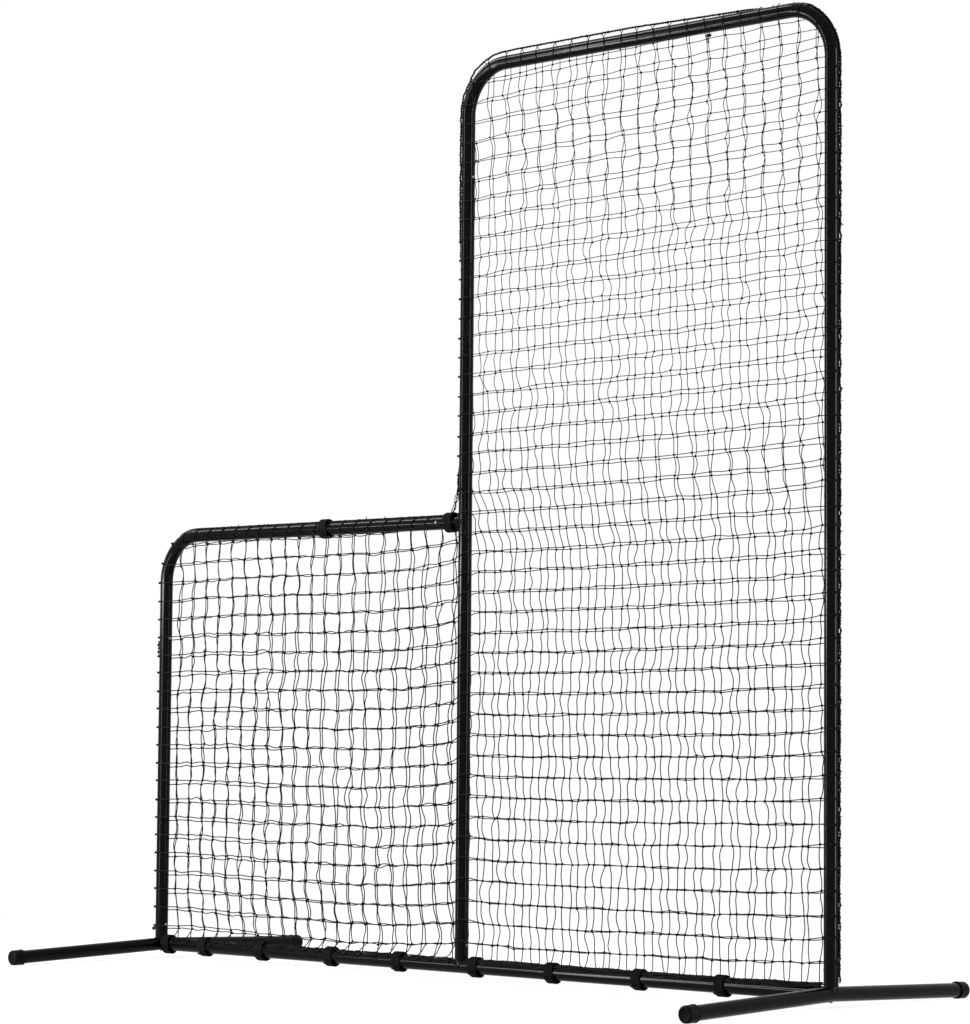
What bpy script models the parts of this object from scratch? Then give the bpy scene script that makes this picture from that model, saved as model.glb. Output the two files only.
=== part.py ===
"""Free-standing L-shaped practice screen for pitchers.

A knock-down frame of round steel tube stands on two cross feet. Every tube end slides over, or into, its
neighbour and is locked by a sprung button. A two-layer net is pulled over the frame, laced along its outer
edge and strapped to the rails. Metres, +Z up. X runs along the screen, Y through it, and the origin is on
the floor under the middle of the screen.
"""
import math

import bmesh
import bpy
from mathutils import Matrix, Vector

MM = 0.001

# Overall sizes
POST_SPACING = 2118 * MM
OVERALL_HEIGHT = 2150 * MM
FOOT_SPAN = 960 * MM
MID_POST_SHIFT = -9 * MM
SHOULDER_RISE = 1031 * MM
FOOT_DROOP = 15.5 * MM

# Tube stock and its joints
TUBE_R = 16 * MM
TUBE_WALL = 1.5 * MM
SPIGOT_WALL = 1.5 * MM
FIT_GAP = 0.3 * MM
INSERT = 64 * MM
NECK = 6 * MM
BEND_R = 115 * MM
CORNER_RUN = 175 * MM
SEAT_RISE = 1 * MM
ARM_REACH = 47 * MM
RAIL_SEAM = 48 * MM
POST_SEAM_DROP = 117 * MM
STUB_FLOOR = 4 * MM

# Sprung buttons
BUTTON_R = 4 * MM
BUTTON_SETBACK = 32 * MM
BUTTON_PROUD = 4 * MM
HOLE_GAP = 0.4 * MM
LEAF_WIDTH = 9 * MM
LEAF_THICK = 0.8 * MM
LEAF_BACK = 26 * MM
LEAF_FRONT = 7 * MM

# End caps
CAP_WALL = 2.2 * MM
CAP_GRIP = 25 * MM
CAP_CROWN = 5 * MM
CAP_ROUND = 4.5 * MM
BEAD_RISE = 0.8 * MM
BEAD_WIDTH = 4 * MM
SOLE_DEPTH = 0.9 * MM

# Straps
STRAP_WIDTH = 26 * MM
STRAP_THICK = 2 * MM
STRAP_SLACK = 6 * MM
STRAP_SAG = 3 * MM
STRAP_TAIL = 4 * MM
STRAP_STEP = math.radians(22.5)
STRAP_START = math.radians(-70)
STRAP_END = math.radians(335)

# Net
TWINE = 2.4 * MM
NET_THICK = 2 * MM
NET_REACH = 24 * MM
NET_FOOT = 25 * MM
NET_COLUMNS = 6
TALL_ROWS = 13
LOW_ROWS = 6
EDGE_CORD_R = 2.5 * MM
EDGE_BULGE = 5 * MM
HEM_WIDTH = 14 * MM
HEM_HEIGHT = 5 * MM
HEM_RIPPLE = 1 * MM
HEM_STEP = 90 * MM

# Faceting
TUBE_SIDES = 16
BUTTON_SIDES = 12
CORD_SIDES = 6
HEM_SIDES = 8
BEND_STEPS = 8
ROUND_STEPS = 3
SHARP_ANGLE = math.radians(35)
OVERRUN = 5 * MM

# Strap places along the rails, from the left post to the right post or to the middle post
FIRST_STRAP = 31 * MM
RAIL_STRAP_SHARES = (0.0799, 0.1779, 0.2931, 0.4015, 0.6303, 0.7521, 0.8630)
SHOULDER_STRAP_SHARE = 0.5566
STRAP_BY_POST = 44 * MM

# Sizes that follow from the ones above
LEFT_X = -POST_SPACING / 2
RIGHT_X = POST_SPACING / 2
MID_X = MID_POST_SHIFT
BORE_R = TUBE_R - TUBE_WALL
SPIGOT_R = BORE_R - FIT_GAP
SPIGOT_BORE_R = SPIGOT_R - SPIGOT_WALL
CAP_R = TUBE_R + FIT_GAP + CAP_WALL
RAIL_Z = CAP_R - SOLE_DEPTH + FOOT_DROOP
SHOULDER_Z = RAIL_Z + SHOULDER_RISE
TOP_Z = OVERALL_HEIGHT - TUBE_R
SEAT = TUBE_R + SEAT_RISE
CORNER_LEG = BEND_R + CORNER_RUN
CORNER_ARC = BEND_R * math.pi / 2
BAR_HALF = FOOT_SPAN / 2 - CAP_CROWN
POST_SEAM_Z = SHOULDER_Z - POST_SEAM_DROP
RAIL_SEAM_X = MID_X + RAIL_SEAM
CORD_OFFSET = TUBE_R + FIT_GAP + EDGE_CORD_R

ALONG_X = Vector((1, 0, 0))
ALONG_Y = Vector((0, 1, 0))
ALONG_Z = Vector((0, 0, 1))


# Scene and materials

def clear_scene():
    for item in list(bpy.data.objects):
        bpy.data.objects.remove(item, do_unlink=True)


def finish(name, colour, roughness, metallic):
    """A Principled material with one colour."""
    made = bpy.data.materials.new(name)
    made.use_nodes = True
    shader = made.node_tree.nodes["Principled BSDF"]
    shader.inputs["Base Color"].default_value = (*colour, 1)
    shader.inputs["Roughness"].default_value = roughness
    shader.inputs["Metallic"].default_value = metallic
    return made


# Mesh helpers. A tube's own frame runs along +Z from its start, with +Y across the plane that it bends in.

def pose(start, along, across):
    """The matrix that carries a piece's own frame to its place: its Z along, its Y across."""
    upright = across.cross(along)
    turn = Matrix((upright, across, along)).transposed().to_4x4()
    return Matrix.Translation(start) @ turn


def add_object(name, bm, look, place=None, hidden=False):
    """Turn a bmesh into a named object. A hidden one is a cutter or a guide."""
    bmesh.ops.recalc_face_normals(bm, faces=bm.faces)
    mesh = bpy.data.meshes.new(name)
    bm.to_mesh(mesh)
    bm.free()
    if look:
        mesh.materials.append(look)
    mesh.shade_smooth()
    mesh.set_sharp_from_angle(angle=SHARP_ANGLE)
    return link(name, mesh, place, hidden)


def link(name, mesh, place=None, hidden=False):
    item = bpy.data.objects.new(name, mesh)
    bpy.context.scene.collection.objects.link(item)
    item.matrix_world = place or Matrix.Identity(4)
    if hidden:
        item.hide_render = True
        item.display_type = "WIRE"
    return item


def boolean(item, operation, other):
    change = item.modifiers.new(other.name, "BOOLEAN")
    change.operation = operation
    change.solver = "EXACT"
    change.object = other


def ring(centre, tangent, radius, sides=TUBE_SIDES, flatten=1):
    """Points of a round section square to the tangent, which lies in the XZ plane."""
    side = ALONG_Y * radius
    rise = ALONG_Y.cross(tangent).normalized() * (radius * flatten)
    angles = [math.tau * i / sides for i in range(sides)]
    return [centre + side * math.cos(angle) + rise * math.sin(angle) for angle in angles]


def skin(rings, looped):
    """Join rings of points into one closed body, as a hose when looped and with end faces when not."""
    bm = bmesh.new()
    loops = [[bm.verts.new(point) for point in points] for points in rings]
    pairs = list(zip(loops, loops[1:]))
    if looped:
        pairs.append((loops[-1], loops[0]))
    else:
        bm.faces.new(loops[0])
        bm.faces.new(loops[-1])
    for near, far in pairs:
        for i in range(len(near)):
            j = (i + 1) % len(near)
            bm.faces.new((near[i], near[j], far[j], far[i]))
    return bm


# Centre lines. Each gives the point and the direction at a distance along it.

def straight(distance):
    return Vector((0, 0, distance)), ALONG_Z


def quarter_bend(distance):
    """A straight leg, a quarter turn towards +X and a second straight leg."""
    if distance <= CORNER_RUN:
        return straight(distance)
    if distance >= CORNER_RUN + CORNER_ARC:
        past = distance - CORNER_RUN - CORNER_ARC
        return Vector((BEND_R + past, 0, CORNER_LEG)), ALONG_X
    turn = (distance - CORNER_RUN) / BEND_R
    centre = Vector((BEND_R * (1 - math.cos(turn)), 0, CORNER_RUN + BEND_R * math.sin(turn)))
    return centre, Vector((math.sin(turn), 0, math.cos(turn)))


def drooping_bar(distance):
    """A bar that falls away to both sides of its middle. Its own +X is up."""
    slope = math.atan2(FOOT_DROOP, FOOT_SPAN / 2)
    fall = math.copysign(slope, distance) if distance else 0
    centre = Vector((-abs(distance) * math.sin(slope), 0, distance * math.cos(slope)))
    return centre, Vector((-math.sin(fall), 0, math.cos(fall)))


def rings_along(line, profile, breaks=()):
    """Rings for a profile of (distance, radius) pairs, with a ring at each break that a run passes."""
    rings = []
    for (start, radius), (end, _) in zip(profile, profile[1:]):
        rings.append(ring(*line(start), radius))
        passed = [place for place in breaks if min(start, end) < place < max(start, end)]
        passed.sort(reverse=end < start)
        rings.extend(ring(*line(place), radius) for place in passed)
    rings.append(ring(*line(profile[-1][0]), profile[-1][1]))
    return rings


# Tube shapes

def outer_profile(length, spigot_start, spigot_end):
    profile = [(0, TUBE_R)]
    if spigot_start:
        profile = [(-INSERT, SPIGOT_R), (FIT_GAP, SPIGOT_R), (FIT_GAP, TUBE_R)]
    if spigot_end:
        shoulder = length - FIT_GAP
        return profile + [(shoulder, TUBE_R), (shoulder, SPIGOT_R), (length + INSERT, SPIGOT_R)]
    return profile + [(length, TUBE_R)]


def bore_profile(length, spigot_start, spigot_end, beyond=0):
    """The bore, narrowed where an end is drawn down, and run on past each end by beyond."""
    profile = [(-beyond, BORE_R)]
    if spigot_start:
        profile = [(-INSERT - beyond, SPIGOT_BORE_R), (NECK, SPIGOT_BORE_R), (2 * NECK, BORE_R)]
    if spigot_end:
        neck = length - NECK
        tip = length + INSERT + beyond
        return profile + [(neck - NECK, BORE_R), (neck, SPIGOT_BORE_R), (tip, SPIGOT_BORE_R)]
    return profile + [(length + beyond, BORE_R)]


def plain_tube(name, look, start, along, length, spigot_start=False, spigot_end=False):
    """A straight tube. A drawn-down end reaches past the joint into its neighbour."""
    outside = rings_along(straight, outer_profile(length, spigot_start, spigot_end))
    inside = rings_along(straight, bore_profile(length, spigot_start, spigot_end))
    body = skin(outside + inside[::-1], looped=True)
    return add_object(name, body, look, pose(start, along, ALONG_Y))


def corner_mesh(look):
    """The bent tube that all three corners share, open as a sleeve at both ends."""
    length = 2 * CORNER_RUN + CORNER_ARC
    breaks = [CORNER_RUN + CORNER_ARC * i / BEND_STEPS for i in range(BEND_STEPS + 1)]
    outside = rings_along(quarter_bend, [(0, TUBE_R), (length, TUBE_R)], breaks)
    inside = rings_along(quarter_bend, [(0, BORE_R), (length, BORE_R)], breaks)
    guide = add_object("corner_guide", skin(outside + inside[::-1], looped=True), look)
    mesh = guide.data
    bpy.data.objects.remove(guide)
    return mesh


def stub(name, base, along, reach):
    """A drawn-down stub welded at a tube's centre line, with the weld's collar round its root.

    Its sleeve starts at reach. Returns the solid and the blind bore to cut from it.
    """
    weld_r = TUBE_R - FIT_GAP
    collar = SEAT - FIT_GAP
    tip = reach + INSERT
    outline = [(0, weld_r), (collar, weld_r), (collar, SPIGOT_R), (tip, SPIGOT_R)]
    outside = rings_along(straight, outline)
    inside = rings_along(straight, [(TUBE_R + STUB_FLOOR, SPIGOT_BORE_R), (tip + OVERRUN, SPIGOT_BORE_R)])
    place = pose(base, along, ALONG_Y)
    solid = add_object(name + "_solid", skin(outside, looped=False), None, place, hidden=True)
    bore = add_object(name + "_bore", skin(inside, looped=False), None, place, hidden=True)
    return solid, bore


def weld(item, bore, stubs):
    """Fuse stubs to a solid tube, then cut its bore and theirs."""
    for solid, _ in stubs:
        boolean(item, "UNION", solid)
    boolean(item, "DIFFERENCE", bore)
    for _, hollow in stubs:
        boolean(item, "DIFFERENCE", hollow)


def stubbed_tube(name, look, start, along, length, spigot_start, spigot_end, stubs):
    """A straight tube with stubs welded on its side."""
    place = pose(start, along, ALONG_Y)
    outside = rings_along(straight, outer_profile(length, spigot_start, spigot_end))
    inside = rings_along(straight, bore_profile(length, spigot_start, spigot_end, OVERRUN))
    item = add_object(name, skin(outside, looped=False), look, place)
    bore = add_object(name + "_bore", skin(inside, looped=False), None, place, hidden=True)
    weld(item, bore, stubs)
    return item


def foot(name, look, x, inward):
    """A cross foot: the bar, a stub up for the post and a stub inward for the bottom rail."""
    base = Vector((x, 0, RAIL_Z))
    place = pose(base, ALONG_Y, ALONG_X)
    ends = [(-BAR_HALF, TUBE_R), (BAR_HALF, TUBE_R)]
    longer = [(-BAR_HALF - OVERRUN, BORE_R), (BAR_HALF + OVERRUN, BORE_R)]
    outside = rings_along(drooping_bar, ends, [0])
    inside = rings_along(drooping_bar, longer, [0])
    item = add_object(name, skin(outside, looped=False), look, place)
    bore = add_object(name + "_bore", skin(inside, looped=False), None, place, hidden=True)
    stubs = [stub(name + "_up", base, ALONG_Z, SEAT), stub(name + "_side", base, inward, SEAT)]
    weld(item, bore, stubs)
    return item


# End caps

def cap_profile():
    """The cap's section from the bottom of its bore, round its mouth and bead, to its rounded end."""
    mouth = -CAP_GRIP
    bead = CAP_R + BEAD_RISE
    bead_end = mouth + BEAD_WIDTH
    profile = [(FIT_GAP, TUBE_R + FIT_GAP), (mouth, TUBE_R + FIT_GAP), (mouth, CAP_R)]
    profile += [(mouth + BEAD_RISE, bead), (bead_end - BEAD_RISE, bead), (bead_end, CAP_R)]
    for i in range(ROUND_STEPS + 1):
        turn = math.pi / 2 * i / ROUND_STEPS
        across = CAP_R - CAP_ROUND * (1 - math.cos(turn))
        profile.append((CAP_CROWN - CAP_ROUND * (1 - math.sin(turn)), across))
    return profile


def end_caps(look):
    """Four caps on the foot bars' ends, cut flat where they stand on the floor."""
    bm = bmesh.new()
    bmesh.ops.create_cube(bm, size=1)
    block = (POST_SPACING + FOOT_SPAN, FOOT_SPAN + FOOT_SPAN, CAP_R)
    bmesh.ops.scale(bm, vec=block, verts=bm.verts)
    floor = add_object("floor_block", bm, None, Matrix.Translation((0, 0, -CAP_R / 2)), hidden=True)
    for side, x in (("left", LEFT_X), ("right", RIGHT_X)):
        for end, sign in (("front", -1), ("rear", 1)):
            centre, tangent = drooping_bar(sign * BAR_HALF)
            outward = Vector((0, tangent.z, tangent.x)) * sign
            start = Vector((x, centre.z, RAIL_Z + centre.x))
            shape = skin(rings_along(straight, cap_profile()), looped=False)
            cap = add_object(f"end_cap_{side}_{end}", shape, look, pose(start, outward, ALONG_X))
            boolean(cap, "DIFFERENCE", floor)


# Sprung buttons

def joints():
    """Each joint: name, sleeve, spigot, the sleeve's mouth (x, z), the way into it and its button's side."""
    up, left, right, rear = ALONG_Z, -ALONG_X, ALONG_X, ALONG_Y
    rise = RAIL_Z + SEAT
    low_z = SHOULDER_Z - CORNER_LEG
    high_z = TOP_Z - CORNER_LEG
    return (
        ("left_foot_up", "left_post", "left_foot", (LEFT_X, rise), up, right),
        ("left_foot_side", "bottom_rail_left", "left_foot", (LEFT_X + SEAT, RAIL_Z), right, rear),
        ("right_foot_up", "right_post_lower", "right_foot", (RIGHT_X, rise), up, left),
        ("right_foot_side", "bottom_rail_right", "right_foot", (RIGHT_X - SEAT, RAIL_Z), left, rear),
        ("mid_stub", "mid_post_lower", "bottom_rail_left", (MID_X, rise), up, right),
        ("bottom_rail", "bottom_rail_right", "bottom_rail_left", (RAIL_SEAM_X, RAIL_Z), right, rear),
        ("left_post_top", "low_corner", "left_post", (LEFT_X, low_z), up, right),
        ("shoulder_left", "low_corner", "shoulder_rail", (LEFT_X + CORNER_LEG, SHOULDER_Z), left, rear),
        ("shoulder_right", "shoulder_rail", "mid_post_upper", (MID_X - ARM_REACH, SHOULDER_Z), left, -rear),
        ("mid_post_seam", "mid_post_upper", "mid_post_lower", (MID_X, POST_SEAM_Z), up, rear),
        ("mid_post_top", "inner_top_corner", "mid_post_upper", (MID_X, high_z), up, right),
        ("top_rail_left", "inner_top_corner", "top_rail", (MID_X + CORNER_LEG, TOP_Z), left, rear),
        ("top_rail_right", "outer_top_corner", "top_rail", (RIGHT_X - CORNER_LEG, TOP_Z), right, rear),
        ("right_post_top", "outer_top_corner", "right_post_upper", (RIGHT_X, high_z), up, left),
        ("right_post_seam", "right_post_upper", "right_post_lower", (RIGHT_X, POST_SEAM_Z), up, rear),
    )


def leaf_path():
    """Middle line of the folded leaf as (along the tube, towards the button), by shares of its sizes.

    The near leg lies along the wall behind the button. The far leg stops short of the other wall by the
    button's travel, which brings its top down flush with the spigot.
    """
    clear_r = SPIGOT_BORE_R * math.cos(math.pi / TUBE_SIDES) - FIT_GAP
    seat = math.sqrt(clear_r ** 2 - (LEAF_WIDTH / 2) ** 2) - LEAF_THICK / 2
    travel = TUBE_R + BUTTON_PROUD - SPIGOT_R
    fold_shares = ((-0.10, 1.0), (-0.80, 0.68), (-0.96, 0.56), (-1.0, 0.42), (-0.96, 0.28), (-0.80, 0.17))
    path = [(LEAF_FRONT, seat)]
    path += [(LEAF_BACK * along, seat * towards) for along, towards in fold_shares]
    path.append((LEAF_FRONT, travel - seat))
    return path


def button_mesh(look):
    """One button riveted to its leaf. Its own Z is the way it sticks out, its X the way into the sleeve."""
    path = leaf_path()
    bm = bmesh.new()
    sections = []
    for i, (along, towards) in enumerate(path):
        before = Vector(path[max(i - 1, 0)])
        after = Vector(path[min(i + 1, len(path) - 1)])
        run = (after - before).normalized()
        side = Vector((-run.y, run.x)) * (LEAF_THICK / 2)
        corners = []
        for sign, half in ((1, 1), (1, -1), (-1, -1), (-1, 1)):
            point = (along + sign * side.x, half * LEAF_WIDTH / 2, towards + sign * side.y)
            corners.append(bm.verts.new(point))
        sections.append(corners)
    bm.faces.new(sections[0])
    bm.faces.new(sections[-1])
    for near, far in zip(sections, sections[1:]):
        for i in range(len(near)):
            j = (i + 1) % len(near)
            bm.faces.new((near[i], near[j], far[j], far[i]))
    leaf = add_object("leaf_guide", bm, look)
    top = TUBE_R + BUTTON_PROUD
    dome_shares = ((0.45, 1.0), (0.15, 0.78), (0.0, 0.4))
    profile = [(path[0][1], BUTTON_R)]
    profile += [(top - BUTTON_PROUD * down, BUTTON_R * across) for down, across in dome_shares]
    rings = [ring(*straight(height), radius, BUTTON_SIDES) for height, radius in profile]
    head = add_object("head_guide", skin(rings, looped=False), look)
    boolean(leaf, "UNION", head)
    solid = leaf.evaluated_get(bpy.context.evaluated_depsgraph_get())
    mesh = bpy.data.meshes.new_from_object(solid)
    for guide in (leaf, head):
        bpy.data.objects.remove(guide)
    return mesh


def lock_joints(look):
    """Cut each joint's button hole through sleeve and spigot, and put its button in.

    A button's origin is on the tube's centre line, its Z the way it sticks out and its X into the sleeve.
    """
    mesh = button_mesh(look)
    ends = (BORE_R / 2, TUBE_R + OVERRUN)
    hole = [ring(*straight(height), BUTTON_R + HOLE_GAP, BUTTON_SIDES) for height in ends]
    for name, sleeve, spigot, (mouth_x, mouth_z), inward, face in joints():
        turn = Matrix((inward, face.cross(inward), face)).transposed().to_4x4()
        centre = Vector((mouth_x, 0, mouth_z)) + inward * BUTTON_SETBACK
        place = Matrix.Translation(centre) @ turn
        cutter = add_object(f"hole_{name}", skin(hole, looped=False), None, place, hidden=True)
        boolean(bpy.data.objects[sleeve], "DIFFERENCE", cutter)
        boolean(bpy.data.objects[spigot], "DIFFERENCE", cutter)
        link(f"snap_button_{name}", mesh, place)


# Straps

def strap_mesh(look):
    """A strap wrapped once round a rail, slack over the net on top, with its end lapped and left proud."""
    bm_rings = []
    steps = round((STRAP_END - STRAP_START) / STRAP_STEP)
    lap = STRAP_START + math.tau
    climb = STRAP_STEP * 4
    for i in range(steps + 1):
        turn = STRAP_START + STRAP_STEP * i
        lift = STRAP_SLACK if math.sin(turn) > 0 else STRAP_SAG
        inner = TUBE_R + FIT_GAP + lift * math.sin(turn) ** 2
        outward = min(max((turn - lap + climb) / climb, 0), 1)
        inner += (STRAP_THICK + FIT_GAP) * outward
        inner += STRAP_TAIL * max(0, i - steps + 2) / 2
        radial = Vector((0, -math.cos(turn), math.sin(turn)))
        half = ALONG_X * (STRAP_WIDTH / 2)
        low, high = radial * inner, radial * (inner + STRAP_THICK)
        bm_rings.append([low - half, low + half, high + half, high - half])
    guide = add_object("strap_guide", skin(bm_rings, looped=False), look)
    mesh = guide.data
    bpy.data.objects.remove(guide)
    return mesh


def strap_places():
    """Name and centre of each strap: nine on the bottom rail, two on the shoulder rail."""
    rail = [LEFT_X + FIRST_STRAP]
    rail += [LEFT_X + POST_SPACING * share for share in RAIL_STRAP_SHARES]
    rail.append(RAIL_SEAM_X)
    rail.sort()
    places = [(f"strap_rail_{i + 1}", (x, 0, RAIL_Z)) for i, x in enumerate(rail)]
    shoulder = (LEFT_X + (MID_X - LEFT_X) * SHOULDER_STRAP_SHARE, MID_X - STRAP_BY_POST)
    places += [(f"strap_shoulder_{i + 1}", (x, 0, SHOULDER_Z)) for i, x in enumerate(shoulder)]
    return places


# Net

def rounded(x, z, centre, outward):
    """Draw a point in to the arc round a bend's centre if it lies beyond it on both axes."""
    dx, dz = x - centre[0], z - centre[1]
    reach = BEND_R + NET_REACH
    if dx * outward <= 0 or dz <= 0 or math.hypot(dx, dz) <= reach:
        return x, z
    shrink = reach / math.hypot(dx, dz)
    return centre[0] + dx * shrink, centre[1] + dz * shrink


def net_panel(name, look, left, right, low, high, rows, bends, y):
    """A flat lattice of twine from left to right and low to high, one layer thick from y outwards."""
    bm = bmesh.new()
    half = TWINE / 2
    corners = ((-half, -half), (half, -half), (half, half), (-half, half))
    faces = (y, y + math.copysign(NET_THICK, y))
    knots = {}
    for i in range(NET_COLUMNS + 1):
        for j in range(rows + 1):
            x, z = left + (right - left) * i / NET_COLUMNS, low + (high - low) * j / rows
            for centre, outward in bends:
                x, z = rounded(x, z, centre, outward)
            knots[i, j] = [[bm.verts.new((x + dx, face, z + dz)) for dx, dz in corners] for face in faces]
    sides = {(0, -1): (0, 1), (1, 0): (1, 2), (0, 1): (2, 3), (-1, 0): (3, 0)}
    for (i, j), (front, back) in knots.items():
        bm.faces.new(front)
        bm.faces.new(back)
        for (di, dj), (a, b) in sides.items():
            other = knots.get((i + di, j + dj))
            if other is None:
                bm.faces.new((front[a], front[b], back[b], back[a]))
            elif (di, dj) in ((1, 0), (0, 1)):
                c, d = sides[-di, -dj]
                bm.faces.new((front[a], front[b], other[0][c], other[0][d]))
                bm.faces.new((back[a], back[b], other[1][c], other[1][d]))
                bm.faces.new((front[a], back[a], other[1][d], other[0][d]))
                bm.faces.new((front[b], back[b], other[1][c], other[0][c]))
    return add_object(name, bm, look)


def net(look):
    """Both layers, each as a tall and a low panel, so that the notch stays open."""
    foot_z = RAIL_Z + NET_FOOT
    tall_left = MID_X - NET_REACH
    low_right = tall_left - TWINE - FIT_GAP
    low_bend = ((LEFT_X + BEND_R, SHOULDER_Z - BEND_R), -1)
    inner_bend = ((MID_X + BEND_R, TOP_Z - BEND_R), -1)
    outer_bend = ((RIGHT_X - BEND_R, TOP_Z - BEND_R), 1)
    for layer, sign in (("front", -1), ("rear", 1)):
        y = sign * (TUBE_R + FIT_GAP)
        net_panel(f"net_{layer}_tall", look, tall_left, RIGHT_X + NET_REACH, foot_z, TOP_Z + NET_REACH,
                  TALL_ROWS, (inner_bend, outer_bend), y)
        net_panel(f"net_{layer}_low", look, LEFT_X - NET_REACH, low_right, foot_z, SHOULDER_Z + NET_REACH,
                  LOW_ROWS, (low_bend,), y)


def bulged_run(start, end, outward, pins):
    """Points along a tube's outer side, touching it at the pins and bowing off it between them."""
    points = []
    stops = [0, *pins, 1]
    for near, far in zip(stops, stops[1:]):
        steps = max(2, round((far - near) * (end - start).length / HEM_STEP / 2))
        for i in range(steps):
            share = near + (far - near) * i / steps
            bow = EDGE_BULGE * math.sin(math.pi * i / steps) ** 2
            points.append(start.lerp(end, share) + outward * (CORD_OFFSET + bow))
    points.append(end + outward * CORD_OFFSET)
    return points


def bend_run(centre, start_angle, end_angle):
    """Points round a bend's outer side, without its two ends."""
    points = []
    for i in range(1, BEND_STEPS):
        angle = start_angle + (end_angle - start_angle) * i / BEND_STEPS
        points.append(centre + Vector((math.cos(angle), 0, math.sin(angle))) * (BEND_R + CORD_OFFSET))
    return points


def edge_route():
    """The laced edge's route: up the right post, over the top, down to the notch and down the left post."""
    foot_z = RAIL_Z + NET_FOOT
    bend_z = TOP_Z - BEND_R
    low_z = SHOULDER_Z - BEND_R
    right, mid, left = (Vector((x, 0, 0)) for x in (RIGHT_X, MID_X, LEFT_X))
    drop = ALONG_X * BEND_R
    leave = SHOULDER_Z + ARM_REACH + CORD_OFFSET
    route = bulged_run(right + ALONG_Z * foot_z, right + ALONG_Z * bend_z, ALONG_X, ())
    route += bend_run(right - drop + ALONG_Z * bend_z, 0, math.pi / 2)
    route += bulged_run(right - drop + ALONG_Z * TOP_Z, mid + drop + ALONG_Z * TOP_Z, ALONG_Z, ())
    route += bend_run(mid + drop + ALONG_Z * bend_z, math.pi / 2, math.pi)
    route += bulged_run(mid + ALONG_Z * bend_z, mid + ALONG_Z * leave, -ALONG_X, ())
    landing_shares = ((0.25, 0.60), (0.40, 0.22), (0.72, 0.0))
    shelf = SHOULDER_Z + CORD_OFFSET
    for across, above in landing_shares:
        x = MID_X - CORD_OFFSET - (STRAP_BY_POST - CORD_OFFSET - STRAP_WIDTH / 2) * across
        route.append(Vector((x, 0, shelf + (leave - shelf) * above)))
    start = mid - ALONG_X * STRAP_BY_POST + ALONG_Z * SHOULDER_Z
    end = left + drop + ALONG_Z * SHOULDER_Z
    strap_x = LEFT_X + (MID_X - LEFT_X) * SHOULDER_STRAP_SHARE
    pins = ((start.x - strap_x) / (start.x - end.x),)
    route += bulged_run(start, end, ALONG_Z, pins)
    route += bend_run(left + drop + ALONG_Z * low_z, math.pi / 2, math.pi)
    route += bulged_run(left + ALONG_Z * low_z, left + ALONG_Z * foot_z, -ALONG_X, ())
    return route


def edge_cord(look):
    route = edge_route()
    rings = []
    for i, point in enumerate(route):
        run = route[min(i + 1, len(route) - 1)] - route[max(i - 1, 0)]
        rings.append(ring(point, run.normalized(), EDGE_CORD_R, CORD_SIDES))
    add_object("net_edge_cord", skin(rings, looped=False), look)


def hem(name, look, start_x, end_x):
    """The net's gathered lower edge, a flattened roll on top of the bottom rail."""
    steps = round((end_x - start_x) / HEM_STEP)
    rings = []
    for i in range(steps + 1):
        x = start_x + (end_x - start_x) * i / steps
        width = HEM_WIDTH - HEM_RIPPLE * (i % 2)
        centre = Vector((x, 0, RAIL_Z + TUBE_R + FIT_GAP + HEM_HEIGHT / 2))
        rings.append(ring(centre, ALONG_X, width / 2, HEM_SIDES, HEM_HEIGHT / width))
    add_object(name, skin(rings, looped=False), look)


# Assembly

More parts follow.
